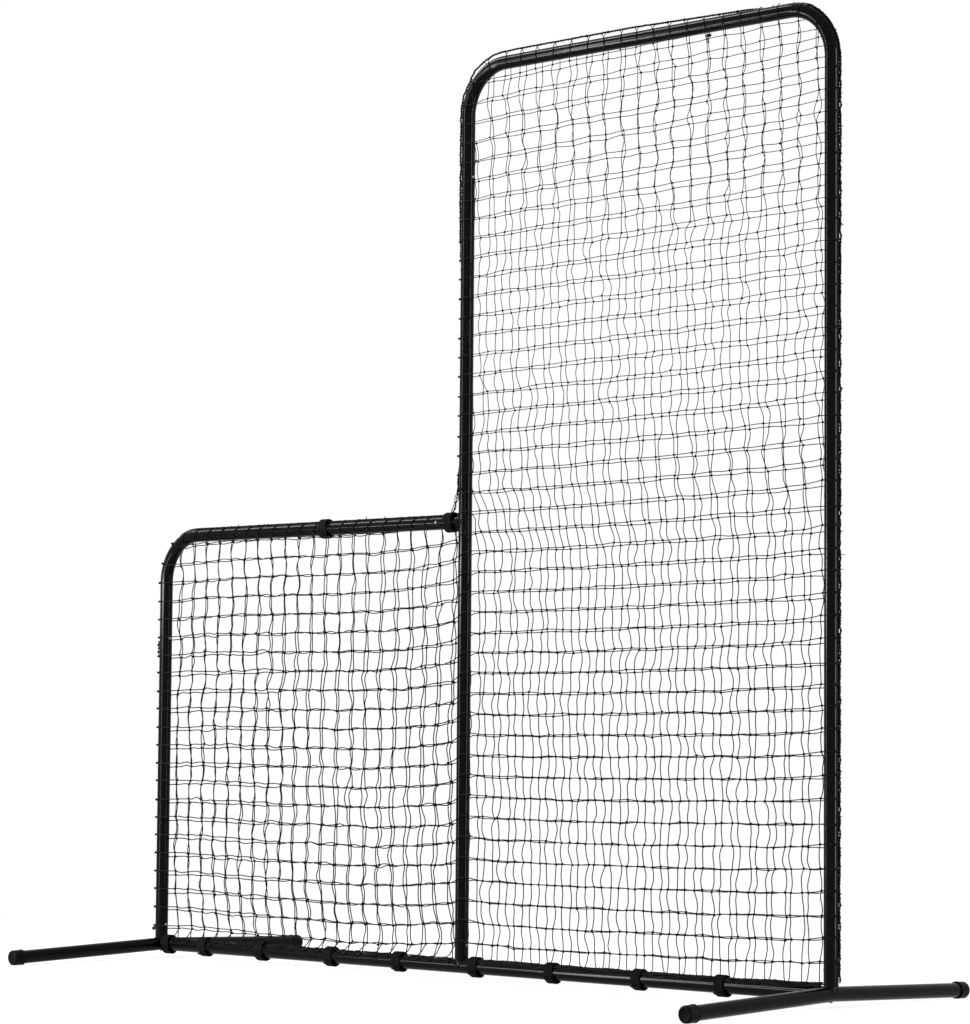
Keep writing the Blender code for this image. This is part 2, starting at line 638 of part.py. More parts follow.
def frame(look):
    left = Vector((LEFT_X, 0, RAIL_Z + SEAT))
    mid = Vector((MID_X, 0, RAIL_Z + SEAT))
    right = Vector((RIGHT_X, 0, RAIL_Z + SEAT))
    lower = POST_SEAM_Z - RAIL_Z - SEAT
    upper = TOP_Z - CORNER_LEG - POST_SEAM_Z
    foot("left_foot", look, LEFT_X, ALONG_X)
    foot("right_foot", look, RIGHT_X, -ALONG_X)
    rail_start = Vector((LEFT_X + SEAT, 0, RAIL_Z))
    mid_stub = stub("mid_stub", Vector((MID_X, 0, RAIL_Z)), ALONG_Z, SEAT)
    rail_length = RAIL_SEAM_X - rail_start.x
    stubbed_tube("bottom_rail_left", look, rail_start, ALONG_X, rail_length, False, True, [mid_stub])
    seam = Vector((RAIL_SEAM_X, 0, RAIL_Z))
    plain_tube("bottom_rail_right", look, seam, ALONG_X, RIGHT_X - SEAT - RAIL_SEAM_X)
    plain_tube("left_post", look, left, ALONG_Z, SHOULDER_Z - CORNER_LEG - left.z, spigot_end=True)
    plain_tube("mid_post_lower", look, mid, ALONG_Z, lower, spigot_end=True)
    plain_tube("right_post_lower", look, right, ALONG_Z, lower, spigot_end=True)
    arm = stub("arm", Vector((MID_X, 0, SHOULDER_Z)), -ALONG_X, ARM_REACH)
    mid_upper = Vector((MID_X, 0, POST_SEAM_Z))
    stubbed_tube("mid_post_upper", look, mid_upper, ALONG_Z, upper, False, True, [arm])
    right_upper = Vector((RIGHT_X, 0, POST_SEAM_Z))
    plain_tube("right_post_upper", look, right_upper, ALONG_Z, upper, spigot_end=True)
    shoulder = Vector((LEFT_X + CORNER_LEG, 0, SHOULDER_Z))
    shoulder_length = MID_X - ARM_REACH - shoulder.x
    plain_tube("shoulder_rail", look, shoulder, ALONG_X, shoulder_length, spigot_start=True)
    top = Vector((MID_X + CORNER_LEG, 0, TOP_Z))
    top_length = RIGHT_X - CORNER_LEG - top.x
    plain_tube("top_rail", look, top, ALONG_X, top_length, spigot_start=True, spigot_end=True)
    bend = corner_mesh(look)
    low_start = Vector((LEFT_X, 0, SHOULDER_Z - CORNER_LEG))
    link("low_corner", bend, pose(low_start, ALONG_Z, ALONG_Y))
    link("inner_top_corner", bend, pose(Vector((MID_X, 0, TOP_Z - CORNER_LEG)), ALONG_Z, ALONG_Y))
    link("outer_top_corner", bend, pose(Vector((RIGHT_X, 0, TOP_Z - CORNER_LEG)), ALONG_Z, -ALONG_Y))


def main():
    clear_scene()
    powder = finish("black powder coat", (0.010, 0.010, 0.012), 0.28, 0.0)
    moulded = finish("black moulded plastic", (0.035, 0.035, 0.037), 0.55, 0.0)
    plated = finish("plated spring steel", (0.62, 0.62, 0.60), 0.30, 1.0)
    webbing = finish("charcoal hook and loop", (0.045, 0.046, 0.052), 0.92, 0.0)
    twine = finish("black twine", (0.015, 0.015, 0.015), 0.85, 0.0)
    frame(powder)
    end_caps(moulded)
    lock_joints(plated)
    band = strap_mesh(webbing)
    for name, centre in strap_places():
        link(name, band, Matrix.Translation(centre))
    net(twine)
    edge_cord(twine)
    hem("net_hem_left", twine, LEFT_X + SEAT + SEAT_RISE, MID_X - SEAT - SEAT_RISE)
    hem("net_hem_right", twine, MID_X + SEAT + SEAT_RISE, RIGHT_X - SEAT - SEAT_RISE)


main()
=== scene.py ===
"""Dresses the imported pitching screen.

The tubes, caps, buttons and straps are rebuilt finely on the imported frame. The net is laid strand by strand:
two layers of knotted square mesh, drawn round the tubes and laced to a twisted edge strand. Metres, +Z up,
with X along the screen and Y through it.
"""
import math
import random

import bmesh
import bpy
import numpy as np
from mathutils import Matrix, Vector


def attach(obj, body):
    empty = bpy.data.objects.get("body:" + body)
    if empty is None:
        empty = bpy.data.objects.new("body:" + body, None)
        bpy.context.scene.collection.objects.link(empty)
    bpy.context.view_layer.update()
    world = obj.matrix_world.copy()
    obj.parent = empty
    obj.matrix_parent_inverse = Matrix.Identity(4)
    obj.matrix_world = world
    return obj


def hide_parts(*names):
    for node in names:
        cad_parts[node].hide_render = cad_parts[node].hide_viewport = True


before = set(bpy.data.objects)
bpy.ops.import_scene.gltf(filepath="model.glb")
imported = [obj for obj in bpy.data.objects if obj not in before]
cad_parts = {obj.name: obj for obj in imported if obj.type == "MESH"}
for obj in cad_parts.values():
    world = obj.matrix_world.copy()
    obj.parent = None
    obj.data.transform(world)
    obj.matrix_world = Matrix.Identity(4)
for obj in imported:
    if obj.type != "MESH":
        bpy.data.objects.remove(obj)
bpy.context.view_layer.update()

MM = 0.001
BODY = "frame"

# Sizes of the frame, as packed
POST_SPACING = 2118 * MM
OVERALL_HEIGHT = 2150 * MM
FOOT_SPAN = 960 * MM
MID_POST_SHIFT = -9 * MM
SHOULDER_RISE = 1031 * MM
FOOT_DROOP = 15.5 * MM
TUBE_R = 16 * MM
TUBE_WALL = 1.5 * MM
SPIGOT_WALL = 1.5 * MM
FIT_GAP = 0.3 * MM
INSERT = 64 * MM
NECK = 6 * MM
BEND_R = 115 * MM
CORNER_RUN = 175 * MM
SEAT_RISE = 1 * MM
ARM_REACH = 47 * MM
RAIL_SEAM = 48 * MM
POST_SEAM_DROP = 117 * MM
STUB_FLOOR = 4 * MM
LIP = 0.5 * MM
BUTTON_R = 4 * MM
BUTTON_SETBACK = 32 * MM
BUTTON_PROUD = 4 * MM
HOLE_GAP = 0.4 * MM
LEAF_WIDTH = 9 * MM
LEAF_THICK = 0.8 * MM
LEAF_BACK = 26 * MM
LEAF_FRONT = 7 * MM
LEAF_EDGE_SHARE = 0.55
DOME_SHARE = 0.62
DOME_TIP_SHARE = 0.06
CAP_WALL = 2.2 * MM
CAP_GRIP = 25 * MM
CAP_CROWN = 5 * MM
CAP_ROUND = 4.5 * MM
BEAD_RISE = 0.8 * MM
BEAD_WIDTH = 4 * MM
DISH_RIM = 1 * MM
DISH_DEPTH = 0.35 * MM
SOLE_DEPTH = 0.9 * MM
STRAP_WIDTH = 26 * MM
STRAP_THICK = 2 * MM
STRAP_SLACK = 6 * MM
STRAP_SAG = 3 * MM
STRAP_TAIL = 4 * MM
FIRST_STRAP = 31 * MM
RAIL_STRAP_SHARES = (0.0799, 0.1779, 0.2931, 0.4015, 0.6303, 0.7521, 0.8630)
SHOULDER_STRAP_SHARE = 0.5566
STRAP_BY_POST = 44 * MM
NET_FOOT = 25 * MM
EDGE_CORD_R = 2.5 * MM
WELD_REACH = 0.7 * MM
WELD_LIFT = 0.2 * MM
WELD_R = 1.5 * MM
WELD_RIPPLE = 0.3 * MM
WELD_UNEVEN = 0.06 * MM

# Places that follow from the sizes
LEFT_X = -POST_SPACING / 2
RIGHT_X = POST_SPACING / 2
MID_X = MID_POST_SHIFT
BORE_R = TUBE_R - TUBE_WALL
SPIGOT_R = BORE_R - FIT_GAP
SPIGOT_BORE_R = SPIGOT_R - SPIGOT_WALL
CAP_R = TUBE_R + FIT_GAP + CAP_WALL
RAIL_Z = CAP_R - SOLE_DEPTH + FOOT_DROOP
SHOULDER_Z = RAIL_Z + SHOULDER_RISE
TOP_Z = OVERALL_HEIGHT - TUBE_R
SEAT = TUBE_R + SEAT_RISE
CORNER_LEG = BEND_R + CORNER_RUN
CORNER_ARC = BEND_R * math.pi / 2
BAR_HALF = FOOT_SPAN / 2 - CAP_CROWN
POST_SEAM_Z = SHOULDER_Z - POST_SEAM_DROP
RAIL_SEAM_X = MID_X + RAIL_SEAM
CORD_OFFSET = TUBE_R + FIT_GAP + EDGE_CORD_R

# Fineness
HOLE_MARGIN = 8 * MM
STUB_MARGIN = 24 * MM
TUBE_SIDES = 44
PACKED_SIDES = 16
BEND_STEPS = 28
CAP_STEPS = 10
BUTTON_SIDES = 28
DOME_STEPS = 9
LEAF_STEPS = 14
WELD_STEPS = 132
WELD_SIDES = 9
KNOT_STEPS = 8
STRAP_STEPS = 110
STRAP_COLUMNS = 12
SHARP_ANGLE = math.radians(35)
OVERRUN = 5 * MM

# The net's twine. A lay is the length of one turn of the twist.
TWINE_R = 0.9 * MM
TWINE_LAY = 7 * MM
LACING_LAY = 9 * MM
KNOT_R = 1.6 * MM
KNOT_TURN_R = 1.15 * MM
LAYER_Y = TUBE_R + 1.3 * MM
NET_FACE = TUBE_R + 1.1 * MM

ALONG_X = Vector((1, 0, 0))
ALONG_Y = Vector((0, 1, 0))
ALONG_Z = Vector((0, 0, 1))

# The photograph's frame and the camera that was fitted to it
PHOTO_HEIGHT = 1024
FOCAL_PIXELS = 3275.07
SENSOR = 36
CAMERA_PLACE = (5.25326, -5.53392, 0.57576)
CAMERA_YAW = math.radians(-43.2149)
CAMERA_PITCH = math.radians(3.8348)
CAMERA_ROLL = math.radians(0.4695)


# Camera

def make_camera():
    data = bpy.data.cameras.new("camera")
    data.sensor_fit = "AUTO"
    data.sensor_width = SENSOR
    data.lens = SENSOR * FOCAL_PIXELS / PHOTO_HEIGHT
    data.clip_start = 0.05
    data.clip_end = 200
    camera = bpy.data.objects.new("camera", data)
    bpy.context.scene.collection.objects.link(camera)
    level = math.cos(CAMERA_PITCH)
    ahead = Vector((math.sin(CAMERA_YAW) * level, math.cos(CAMERA_YAW) * level, math.sin(CAMERA_PITCH)))
    right = Vector((math.cos(CAMERA_YAW), -math.sin(CAMERA_YAW), 0))
    up = right.cross(ahead)
    turned_right = right * math.cos(CAMERA_ROLL) + up * math.sin(CAMERA_ROLL)
    turned_up = up * math.cos(CAMERA_ROLL) - right * math.sin(CAMERA_ROLL)
    turn = Matrix((turned_right, turned_up, -ahead)).transposed().to_4x4()
    camera.matrix_world = Matrix.Translation(CAMERA_PLACE) @ turn
    bpy.context.scene.camera = camera


# Materials

class Look:
    """A Principled material with helpers that add its procedural detail."""

    def __init__(self, name, colour, roughness, metallic=0.0, specular=0.5):
        self.made = bpy.data.materials.new(name)
        self.made.use_nodes = True
        self.tree = self.made.node_tree
        self.shader = self.tree.nodes["Principled BSDF"]
        self.put(self.shader, {"Base Color": (*colour, 1), "Roughness": roughness, "Metallic": metallic,
                               "Specular IOR Level": specular})

    def put(self, node, values):
        for name, value in values.items():
            if isinstance(value, bpy.types.NodeSocket):
                self.tree.links.new(value, node.inputs[name])
            else:
                node.inputs[name].default_value = value

    def node(self, kind, values=(), **settings):
        made = self.tree.nodes.new(kind)
        for name, value in settings.items():
            setattr(made, name, value)
        self.put(made, dict(values))
        return made

    def place(self, space="Object", scale=(1, 1, 1)):
        """Coordinates of one space, scaled."""
        source = self.node("ShaderNodeTexCoord").outputs[space]
        return self.node("ShaderNodeMapping", {"Vector": source, "Scale": scale}).outputs["Vector"]

    def noise(self, where, scale, detail=2.0, rough=0.5):
        values = {"Vector": where, "Scale": scale, "Detail": detail, "Roughness": rough}
        return self.node("ShaderNodeTexNoise", values).outputs["Fac"]

    def bands(self, where, direction, scale, distortion):
        """Threads that run one way."""
        values = {"Vector": where, "Scale": scale, "Distortion": distortion}
        values.update({"Detail": 2.0, "Detail Scale": 3.0})
        return self.node("ShaderNodeTexWave", values, bands_direction=direction).outputs["Fac"]

    def spread(self, fac, low, high, start=0.3, end=0.7):
        """A number that runs from low to high as fac runs from start to end."""
        values = {"Value": fac, "From Min": start, "From Max": end, "To Min": low, "To Max": high}
        return self.node("ShaderNodeMapRange", values).outputs["Result"]

    def tint(self, fac, low, high, start=0.3, end=0.7):
        """A colour between low and high."""
        ramp = self.node("ShaderNodeValToRGB", {"Fac": fac})
        for stop, place, colour in zip(ramp.color_ramp.elements, (start, end), (low, high)):
            stop.position = place
            stop.color = (*colour, 1)
        return ramp.outputs["Color"]

    def maths(self, operation, first, second):
        made = self.node("ShaderNodeMath", operation=operation)
        for socket, value in zip(made.inputs, (first, second)):
            if isinstance(value, bpy.types.NodeSocket):
                self.tree.links.new(value, socket)
            else:
                socket.default_value = value
        return made.outputs["Value"]

    def bump(self, height, strength, distance):
        values = {"Height": height, "Strength": strength, "Distance": distance}
        made = self.node("ShaderNodeBump", values)
        under = self.shader.inputs["Normal"]
        if under.is_linked:
            self.put(made, {"Normal": under.links[0].from_socket})
        self.put(self.shader, {"Normal": made.outputs["Normal"]})


def powder_coat():
    look = Look("black powder coat", (0.0008, 0.0008, 0.0009), 0.15, specular=0.07)
    where = look.place()
    peel = look.noise(where, 420, 2.0, 0.4)
    handling = look.noise(where, 7, 4.0, 0.6)
    look.put(look.shader, {
        "Base Color": look.tint(handling, (0.0005, 0.0005, 0.0006), (0.0011, 0.0011, 0.0013)),
        "Roughness": look.spread(handling, 0.12, 0.18),
    })
    look.bump(peel, 0.003, 0.4 * MM)
    return look.made


def moulded_plastic():
    look = Look("black moulded plastic", (0.001, 0.001, 0.0012), 0.45, specular=0.045)
    where = look.place()
    grain = look.noise(where, 1500, 3.0, 0.6)
    scuffs = look.noise(where, 40, 5.0, 0.65)
    look.put(look.shader, {
        "Base Color": look.tint(scuffs, (0.0008, 0.0008, 0.0010), (0.0026, 0.0026, 0.003), 0.42, 0.75),
        "Roughness": look.spread(scuffs, 0.34, 0.48),
    })
    look.bump(grain, 0.15, 0.1 * MM)
    return look.made


def plated_steel():
    look = Look("zinc plated spring steel", (0.30, 0.30, 0.29), 0.35, metallic=1.0)
    where = look.place(scale=(1, 1, 0.08))
    brushed = look.noise(where, 2600, 2.0, 0.5)
    bloom = look.noise(look.place(), 260, 3.0, 0.5)
    look.put(look.shader, {
        "Base Color": look.tint(bloom, (0.10, 0.10, 0.095), (0.19, 0.19, 0.18)),
        "Roughness": look.spread(brushed, 0.28, 0.46),
    })
    look.bump(brushed, 0.08, 0.05 * MM)
    return look.made


def webbing():
    """Looped hook-and-loop tape: a woven ground with a fuzzy pile. UVs are in millimetres."""
    look = Look("charcoal hook and loop tape", (0.006, 0.006, 0.007), 0.9, specular=0.035)
    where = look.place("UV")
    weft = look.bands(where, "Y", 0.35, 1.2)
    warp = look.bands(where, "X", 0.45, 1.0)
    pile = look.noise(where, 2.6, 4.0, 0.7)
    wear = look.noise(where, 0.12, 3.0, 0.5)
    weave = look.maths("MULTIPLY", weft, warp)
    ground = look.maths("ADD", weave, pile)
    mixed = look.maths("ADD", ground, look.maths("MULTIPLY", wear, 0.5))
    # The colour follows the weave and the pile, at the heights that the bump uses, so it is darker in their
    # low parts: painted shade there. The large wear noise is the tape's own tone.
    look.put(look.shader, {
        "Base Color": look.tint(mixed, (0.0012, 0.0012, 0.0014), (0.0075, 0.0077, 0.0088), 0.45, 1.0),
        "Sheen Weight": 0.006,
        "Sheen Roughness": 0.5,
    })
    look.bump(ground, 0.6, 0.5 * MM)
    return look.made


def twisted_twine(name, colour, painted_crown_colour):
    """Twisted fibre. U runs once round the strand, V once along each turn of its twist."""
    look = Look(name, colour, 0.78, specular=0.1)
    where = look.place("UV")
    parts = look.node("ShaderNodeSeparateXYZ", {"Vector": where})
    lay = look.maths("ADD", look.maths("MULTIPLY", parts.outputs["X"], 3.0), parts.outputs["Y"])
    ply = look.maths("PINGPONG", lay, 0.5)
    fibre = look.noise(look.place("UV", (40, 4, 1)), 2.0, 3.0, 0.6)
    both = look.maths("ADD", ply, look.maths("MULTIPLY", fibre, 0.5))
    # The ply stripes darken the colour in the grooves of the twist and lighten it on the crowns, at the
    # heights that the bump uses: painted shade in the grooves and a painted lighter crown. The fibre noise is
    # the twine's own tone.
    look.put(look.shader, {
        "Base Color": look.tint(both, colour, painted_crown_colour, 0.15, 0.8),
        "Roughness": look.spread(fibre, 0.68, 0.88),
    })
    look.bump(both, 0.5, 0.3 * MM)
    return look.made


# Mesh helpers. A tube's own frame runs along +Z from its start, with +Y across the plane that it bends in.

def pose(start, along, across):
    upright = across.cross(along)
    turn = Matrix((upright, across, along)).transposed().to_4x4()
    return Matrix.Translation(start) @ turn


def link(name, mesh, place=None):
    item = bpy.data.objects.new(name, mesh)
    bpy.context.scene.collection.objects.link(item)
    item.matrix_world = place or Matrix.Identity(4)
    return item


def add_object(name, bm, look, place=None):
    bmesh.ops.recalc_face_normals(bm, faces=bm.faces)
    mesh = bpy.data.meshes.new(name)
    bm.to_mesh(mesh)
    bm.free()
    if look:
        mesh.materials.append(look)
    mesh.shade_smooth()
    mesh.set_sharp_from_angle(angle=SHARP_ANGLE)
    return link(name, mesh, place)


def dress(piece, slot, *nodes, body=BODY):
    """Put a finished piece on its body, in place of its CAD nodes."""
    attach(piece, body)
    if nodes:
        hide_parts(*nodes)
    return piece


def ring(centre, tangent, radius, sides=TUBE_SIDES):
    """Points of a round section square to the tangent, which lies in the XZ plane."""
    side = ALONG_Y * radius
    rise = ALONG_Y.cross(tangent).normalized() * radius
    angles = [math.tau * i / sides for i in range(sides)]
    return [centre + side * math.cos(angle) + rise * math.sin(angle) for angle in angles]


def skin(rings, looped):
    """Join rings of points into one closed body, as a hose when looped and with end faces when not."""
    bm = bmesh.new()
    loops = [[bm.verts.new(point) for point in points] for points in rings]
    pairs = list(zip(loops, loops[1:]))
    if looped:
        pairs.append((loops[-1], loops[0]))
    else:
        bm.faces.new(loops[0])
        bm.faces.new(loops[-1])
    for near, far in pairs:
        for i in range(len(near)):
            j = (i + 1) % len(near)
            bm.faces.new((near[i], near[j], far[j], far[i]))
    return bm


def skinned(name, rings, look, place=None, looped=False):
    return add_object(name, skin(rings, looped), look, place)


def straight(distance):
    return Vector((0, 0, distance)), ALONG_Z


def quarter_bend(distance):
    """A straight leg, a quarter turn towards +X and a second straight leg."""
    if distance <= CORNER_RUN:
        return straight(distance)
    if distance >= CORNER_RUN + CORNER_ARC:
        past = distance - CORNER_RUN - CORNER_ARC
        return Vector((BEND_R + past, 0, CORNER_LEG)), ALONG_X
    turn = (distance - CORNER_RUN) / BEND_R
    centre = Vector((BEND_R * (1 - math.cos(turn)), 0, CORNER_RUN + BEND_R * math.sin(turn)))
    return centre, Vector((math.sin(turn), 0, math.cos(turn)))


def drooping_bar(distance):
    """A bar that falls away to both sides of its middle. Its own +X is up."""
    slope = math.atan2(FOOT_DROOP, FOOT_SPAN / 2)
    fall = math.copysign(slope, distance) if distance else 0
    centre = Vector((-abs(distance) * math.sin(slope), 0, distance * math.cos(slope)))
    return centre, Vector((-math.sin(fall), 0, math.cos(fall)))


def rings_along(line, profile, breaks=(), sides=TUBE_SIDES):
    """Rings for a profile of (distance, radius) pairs, with a ring at each break that a run passes."""
    rings = []
    for (start, radius), (end, _) in zip(profile, profile[1:]):
        rings.append(ring(*line(start), radius, sides))
        passed = [place for place in breaks if min(start, end) < place < max(start, end)]
        passed.sort(reverse=end < start)
        rings.extend(ring(*line(place), radius, sides) for place in passed)
    rings.append(ring(*line(profile[-1][0]), profile[-1][1], sides))
    return rings


# Frame tubes

def lipped(start, end):
    """The outer profile of a plain tube with its two lips broken."""
    profile = []
    for place, inward in ((start, 1), (end, -1)):
        lip = [
            (place, TUBE_R - LIP),
            (place + inward * LIP * 0.3, TUBE_R - LIP * 0.3),
            (place + inward * LIP, TUBE_R),
            (place + inward * LIP * 2.4, TUBE_R),
        ]
        profile += lip if inward > 0 else lip[::-1]
    return profile


def outer_profile(length, spigot_start, spigot_end):
    """A tube's outside. A drawn-down end has a rounded shoulder, a lead-in and a broken tip."""
    body = lipped(FIT_GAP if spigot_start else 0, length - FIT_GAP if spigot_end else length)
    if spigot_start:
        body = [(-INSERT, SPIGOT_R - LIP), (LIP - INSERT, SPIGOT_R), (FIT_GAP, SPIGOT_R)] + body
    if spigot_end:
        tip = length + INSERT
        body += [(length - FIT_GAP, SPIGOT_R), (tip - LIP, SPIGOT_R), (tip, SPIGOT_R - LIP)]
    return body


def bore_profile(length, spigot_start, spigot_end, beyond=0):
    profile = [(-beyond, BORE_R)]
    if spigot_start:
        profile = [(-INSERT - beyond, SPIGOT_BORE_R), (NECK, SPIGOT_BORE_R), (2 * NECK, BORE_R)]
    if spigot_end:
        neck = length - NECK
        tip = length + INSERT + beyond
        return profile + [(neck - NECK, BORE_R), (neck, SPIGOT_BORE_R), (tip, SPIGOT_BORE_R)]
    return profile + [(length + beyond, BORE_R)]


def combine(item, operation, other):
    """Apply one solid to another and remove the tool."""
    change = item.modifiers.new("cut", "BOOLEAN")
    change.operation = operation
    change.solver = "EXACT"
    change.object = other
    graph = bpy.context.evaluated_depsgraph_get()
    made = bpy.data.meshes.new_from_object(item.evaluated_get(graph), depsgraph=graph)
    item.modifiers.clear()
    old = item.data
    item.data = made
    bpy.data.meshes.remove(old)
    bpy.data.objects.remove(other)


def beside_holes(length):
    """Places of extra rings that keep each button hole's facets short."""
    holes = (-BUTTON_SETBACK, BUTTON_SETBACK, length - BUTTON_SETBACK, length + BUTTON_SETBACK)
    return [hole + side * HOLE_MARGIN for hole in holes for side in (-1, 1)]


def plain_tube(look, start, along, length, spigot_start=False, spigot_end=False):
    outside = rings_along(straight, outer_profile(length, spigot_start, spigot_end), beside_holes(length))
    inside = rings_along(straight, bore_profile(length, spigot_start, spigot_end))
    return skinned("tube", outside + inside[::-1], look, pose(start, along, ALONG_Y), looped=True)


def corner(look, start, across):
    length = 2 * CORNER_RUN + CORNER_ARC
    breaks = [CORNER_RUN + CORNER_ARC * i / BEND_STEPS for i in range(BEND_STEPS + 1)]
    outside = rings_along(quarter_bend, lipped(0, length), breaks + beside_holes(length))
    inside = rings_along(quarter_bend, [(0, BORE_R), (length, BORE_R)], breaks)
    return skinned("corner", outside + inside[::-1], look, pose(start, ALONG_Z, across), looped=True)


def stub(look, base, along, reach):
    """A drawn-down stub with its collar, and the blind bore to cut from it."""
    weld_r = TUBE_R - FIT_GAP
    collar = SEAT - FIT_GAP
    tip = reach + INSERT
    outline = [(0, weld_r), (collar, weld_r), (collar, SPIGOT_R)]
    outline += [(tip - LIP, SPIGOT_R), (tip, SPIGOT_R - LIP)]
    outside = rings_along(straight, outline, beside_holes(reach))
    inside = rings_along(straight, [(TUBE_R + STUB_FLOOR, SPIGOT_BORE_R), (tip + OVERRUN, SPIGOT_BORE_R)])
    place = pose(base, along, ALONG_Y)
    return skinned("stub", outside, look, place), skinned("stub_bore", inside, look, place)


def stubbed(item, bore, stubs):
    """Fuse stubs to a solid tube, then cut its bore and theirs."""
    for solid, _ in stubs:
        combine(item, "UNION", solid)
    combine(item, "DIFFERENCE", bore)
    for _, hollow in stubs:
        combine(item, "DIFFERENCE", hollow)
    return item


def stubbed_tube(look, start, along, length, spigot_end, stub_at, stubs):
    place = pose(start, along, ALONG_Y)
    breaks = beside_holes(length) + [stub_at - STUB_MARGIN, stub_at + STUB_MARGIN]
    outside = rings_along(straight, outer_profile(length, False, spigot_end), breaks)
    inside = rings_along(straight, bore_profile(length, False, spigot_end, OVERRUN))
    item = skinned("tube", outside, look, place)
    return stubbed(item, skinned("bore", inside, look, place), stubs)


def foot(look, x, inward):
    base = Vector((x, 0, RAIL_Z))
    place = pose(base, ALONG_Y, ALONG_X)
    outside = rings_along(drooping_bar, lipped(-BAR_HALF, BAR_HALF), [-STUB_MARGIN, 0, STUB_MARGIN])
    inside = rings_along(drooping_bar, [(-BAR_HALF - OVERRUN, BORE_R), (BAR_HALF + OVERRUN, BORE_R)], [0])
    item = skinned("foot", outside, look, place)
    bore = skinned("bore", inside, look, place)
    return stubbed(item, bore, [stub(look, base, ALONG_Z, SEAT), stub(look, base, inward, SEAT)])


def frame_tubes(look):
    """Every tube of the frame by its node's name."""
    left = Vector((LEFT_X, 0, RAIL_Z + SEAT))
    mid = Vector((MID_X, 0, RAIL_Z + SEAT))
    right = Vector((RIGHT_X, 0, RAIL_Z + SEAT))
    lower = POST_SEAM_Z - RAIL_Z - SEAT
    upper = TOP_Z - CORNER_LEG - POST_SEAM_Z
    rail = Vector((LEFT_X + SEAT, 0, RAIL_Z))
    seam = Vector((RAIL_SEAM_X, 0, RAIL_Z))
    shoulder = Vector((LEFT_X + CORNER_LEG, 0, SHOULDER_Z))
    top = Vector((MID_X + CORNER_LEG, 0, TOP_Z))
    mid_stub = stub(look, Vector((MID_X, 0, RAIL_Z)), ALONG_Z, SEAT)
    arm = stub(look, Vector((MID_X, 0, SHOULDER_Z)), -ALONG_X, ARM_REACH)
    mid_upper = Vector((MID_X, 0, POST_SEAM_Z))
    right_upper = Vector((RIGHT_X, 0, POST_SEAM_Z))
    rail_run = RAIL_SEAM_X - rail.x
    shoulder_run = MID_X - ARM_REACH - shoulder.x
    arm_at = SHOULDER_Z - mid_upper.z
    return {
        "left_foot": foot(look, LEFT_X, ALONG_X),
        "right_foot": foot(look, RIGHT_X, -ALONG_X),
        "bottom_rail_left": stubbed_tube(look, rail, ALONG_X, rail_run, True, MID_X - rail.x, [mid_stub]),
        "bottom_rail_right": plain_tube(look, seam, ALONG_X, RIGHT_X - SEAT - RAIL_SEAM_X),
        "left_post": plain_tube(look, left, ALONG_Z, SHOULDER_Z - CORNER_LEG - left.z, spigot_end=True),
        "mid_post_lower": plain_tube(look, mid, ALONG_Z, lower, spigot_end=True),
        "right_post_lower": plain_tube(look, right, ALONG_Z, lower, spigot_end=True),
        "mid_post_upper": stubbed_tube(look, mid_upper, ALONG_Z, upper, True, arm_at, [arm]),
        "right_post_upper": plain_tube(look, right_upper, ALONG_Z, upper, spigot_end=True),
        "shoulder_rail": plain_tube(look, shoulder, ALONG_X, shoulder_run, spigot_start=True),
        "top_rail": plain_tube(look, top, ALONG_X, RIGHT_X - CORNER_LEG - top.x, True, True),
        "low_corner": corner(look, Vector((LEFT_X, 0, SHOULDER_Z - CORNER_LEG)), ALONG_Y),
        "inner_top_corner": corner(look, Vector((MID_X, 0, TOP_Z - CORNER_LEG)), ALONG_Y),
        "outer_top_corner": corner(look, Vector((RIGHT_X, 0, TOP_Z - CORNER_LEG)), -ALONG_Y),
    }


# Weld beads where the stubs leave the foot bars, the rail and the middle post

def weld_bead(strands, base, along, bar, seed):
    """A rippled bead round a stub's root, riding over the bar like a saddle."""
    rng = np.random.default_rng(seed)
    turn = np.linspace(0, math.tau, WELD_STEPS, endpoint=False)
    across = np.array(along.cross(bar))
    reach = TUBE_R + WELD_REACH
    side = reach * np.sin(turn)
    height = np.sqrt(np.maximum(TUBE_R ** 2 - side ** 2, 0)) + WELD_LIFT
    path = np.array(base) + np.outer(height, np.array(along)) + np.outer(side, across)
    path += np.outer(reach * np.cos(turn), np.array(bar))
    ripple = WELD_R + WELD_RIPPLE * np.abs(np.sin(turn * 17)) + rng.normal(0, WELD_UNEVEN, WELD_STEPS)
    strands.add(path, ripple, sides=WELD_SIDES, closed=True)


def weld_beads(look):
    """A bead at each stub, from its base, the way it points and the way of the tube that carries it."""
    beads = Strands()
    welds = (
        (LEFT_X, RAIL_Z, ALONG_Z, ALONG_Y),
        (LEFT_X, RAIL_Z, ALONG_X, ALONG_Y),
        (RIGHT_X, RAIL_Z, ALONG_Z, ALONG_Y),
        (RIGHT_X, RAIL_Z, -ALONG_X, ALONG_Y),
        (MID_X, RAIL_Z, ALONG_Z, ALONG_X),
        (MID_X, SHOULDER_Z, -ALONG_X, ALONG_Z),
    )
    for seed, (x, z, along, bar) in enumerate(welds, 1):
        weld_bead(beads, Vector((x, 0, z)), along, bar, seed)
    dress(beads.piece("weld_beads", look), "frame_tube")


# End caps

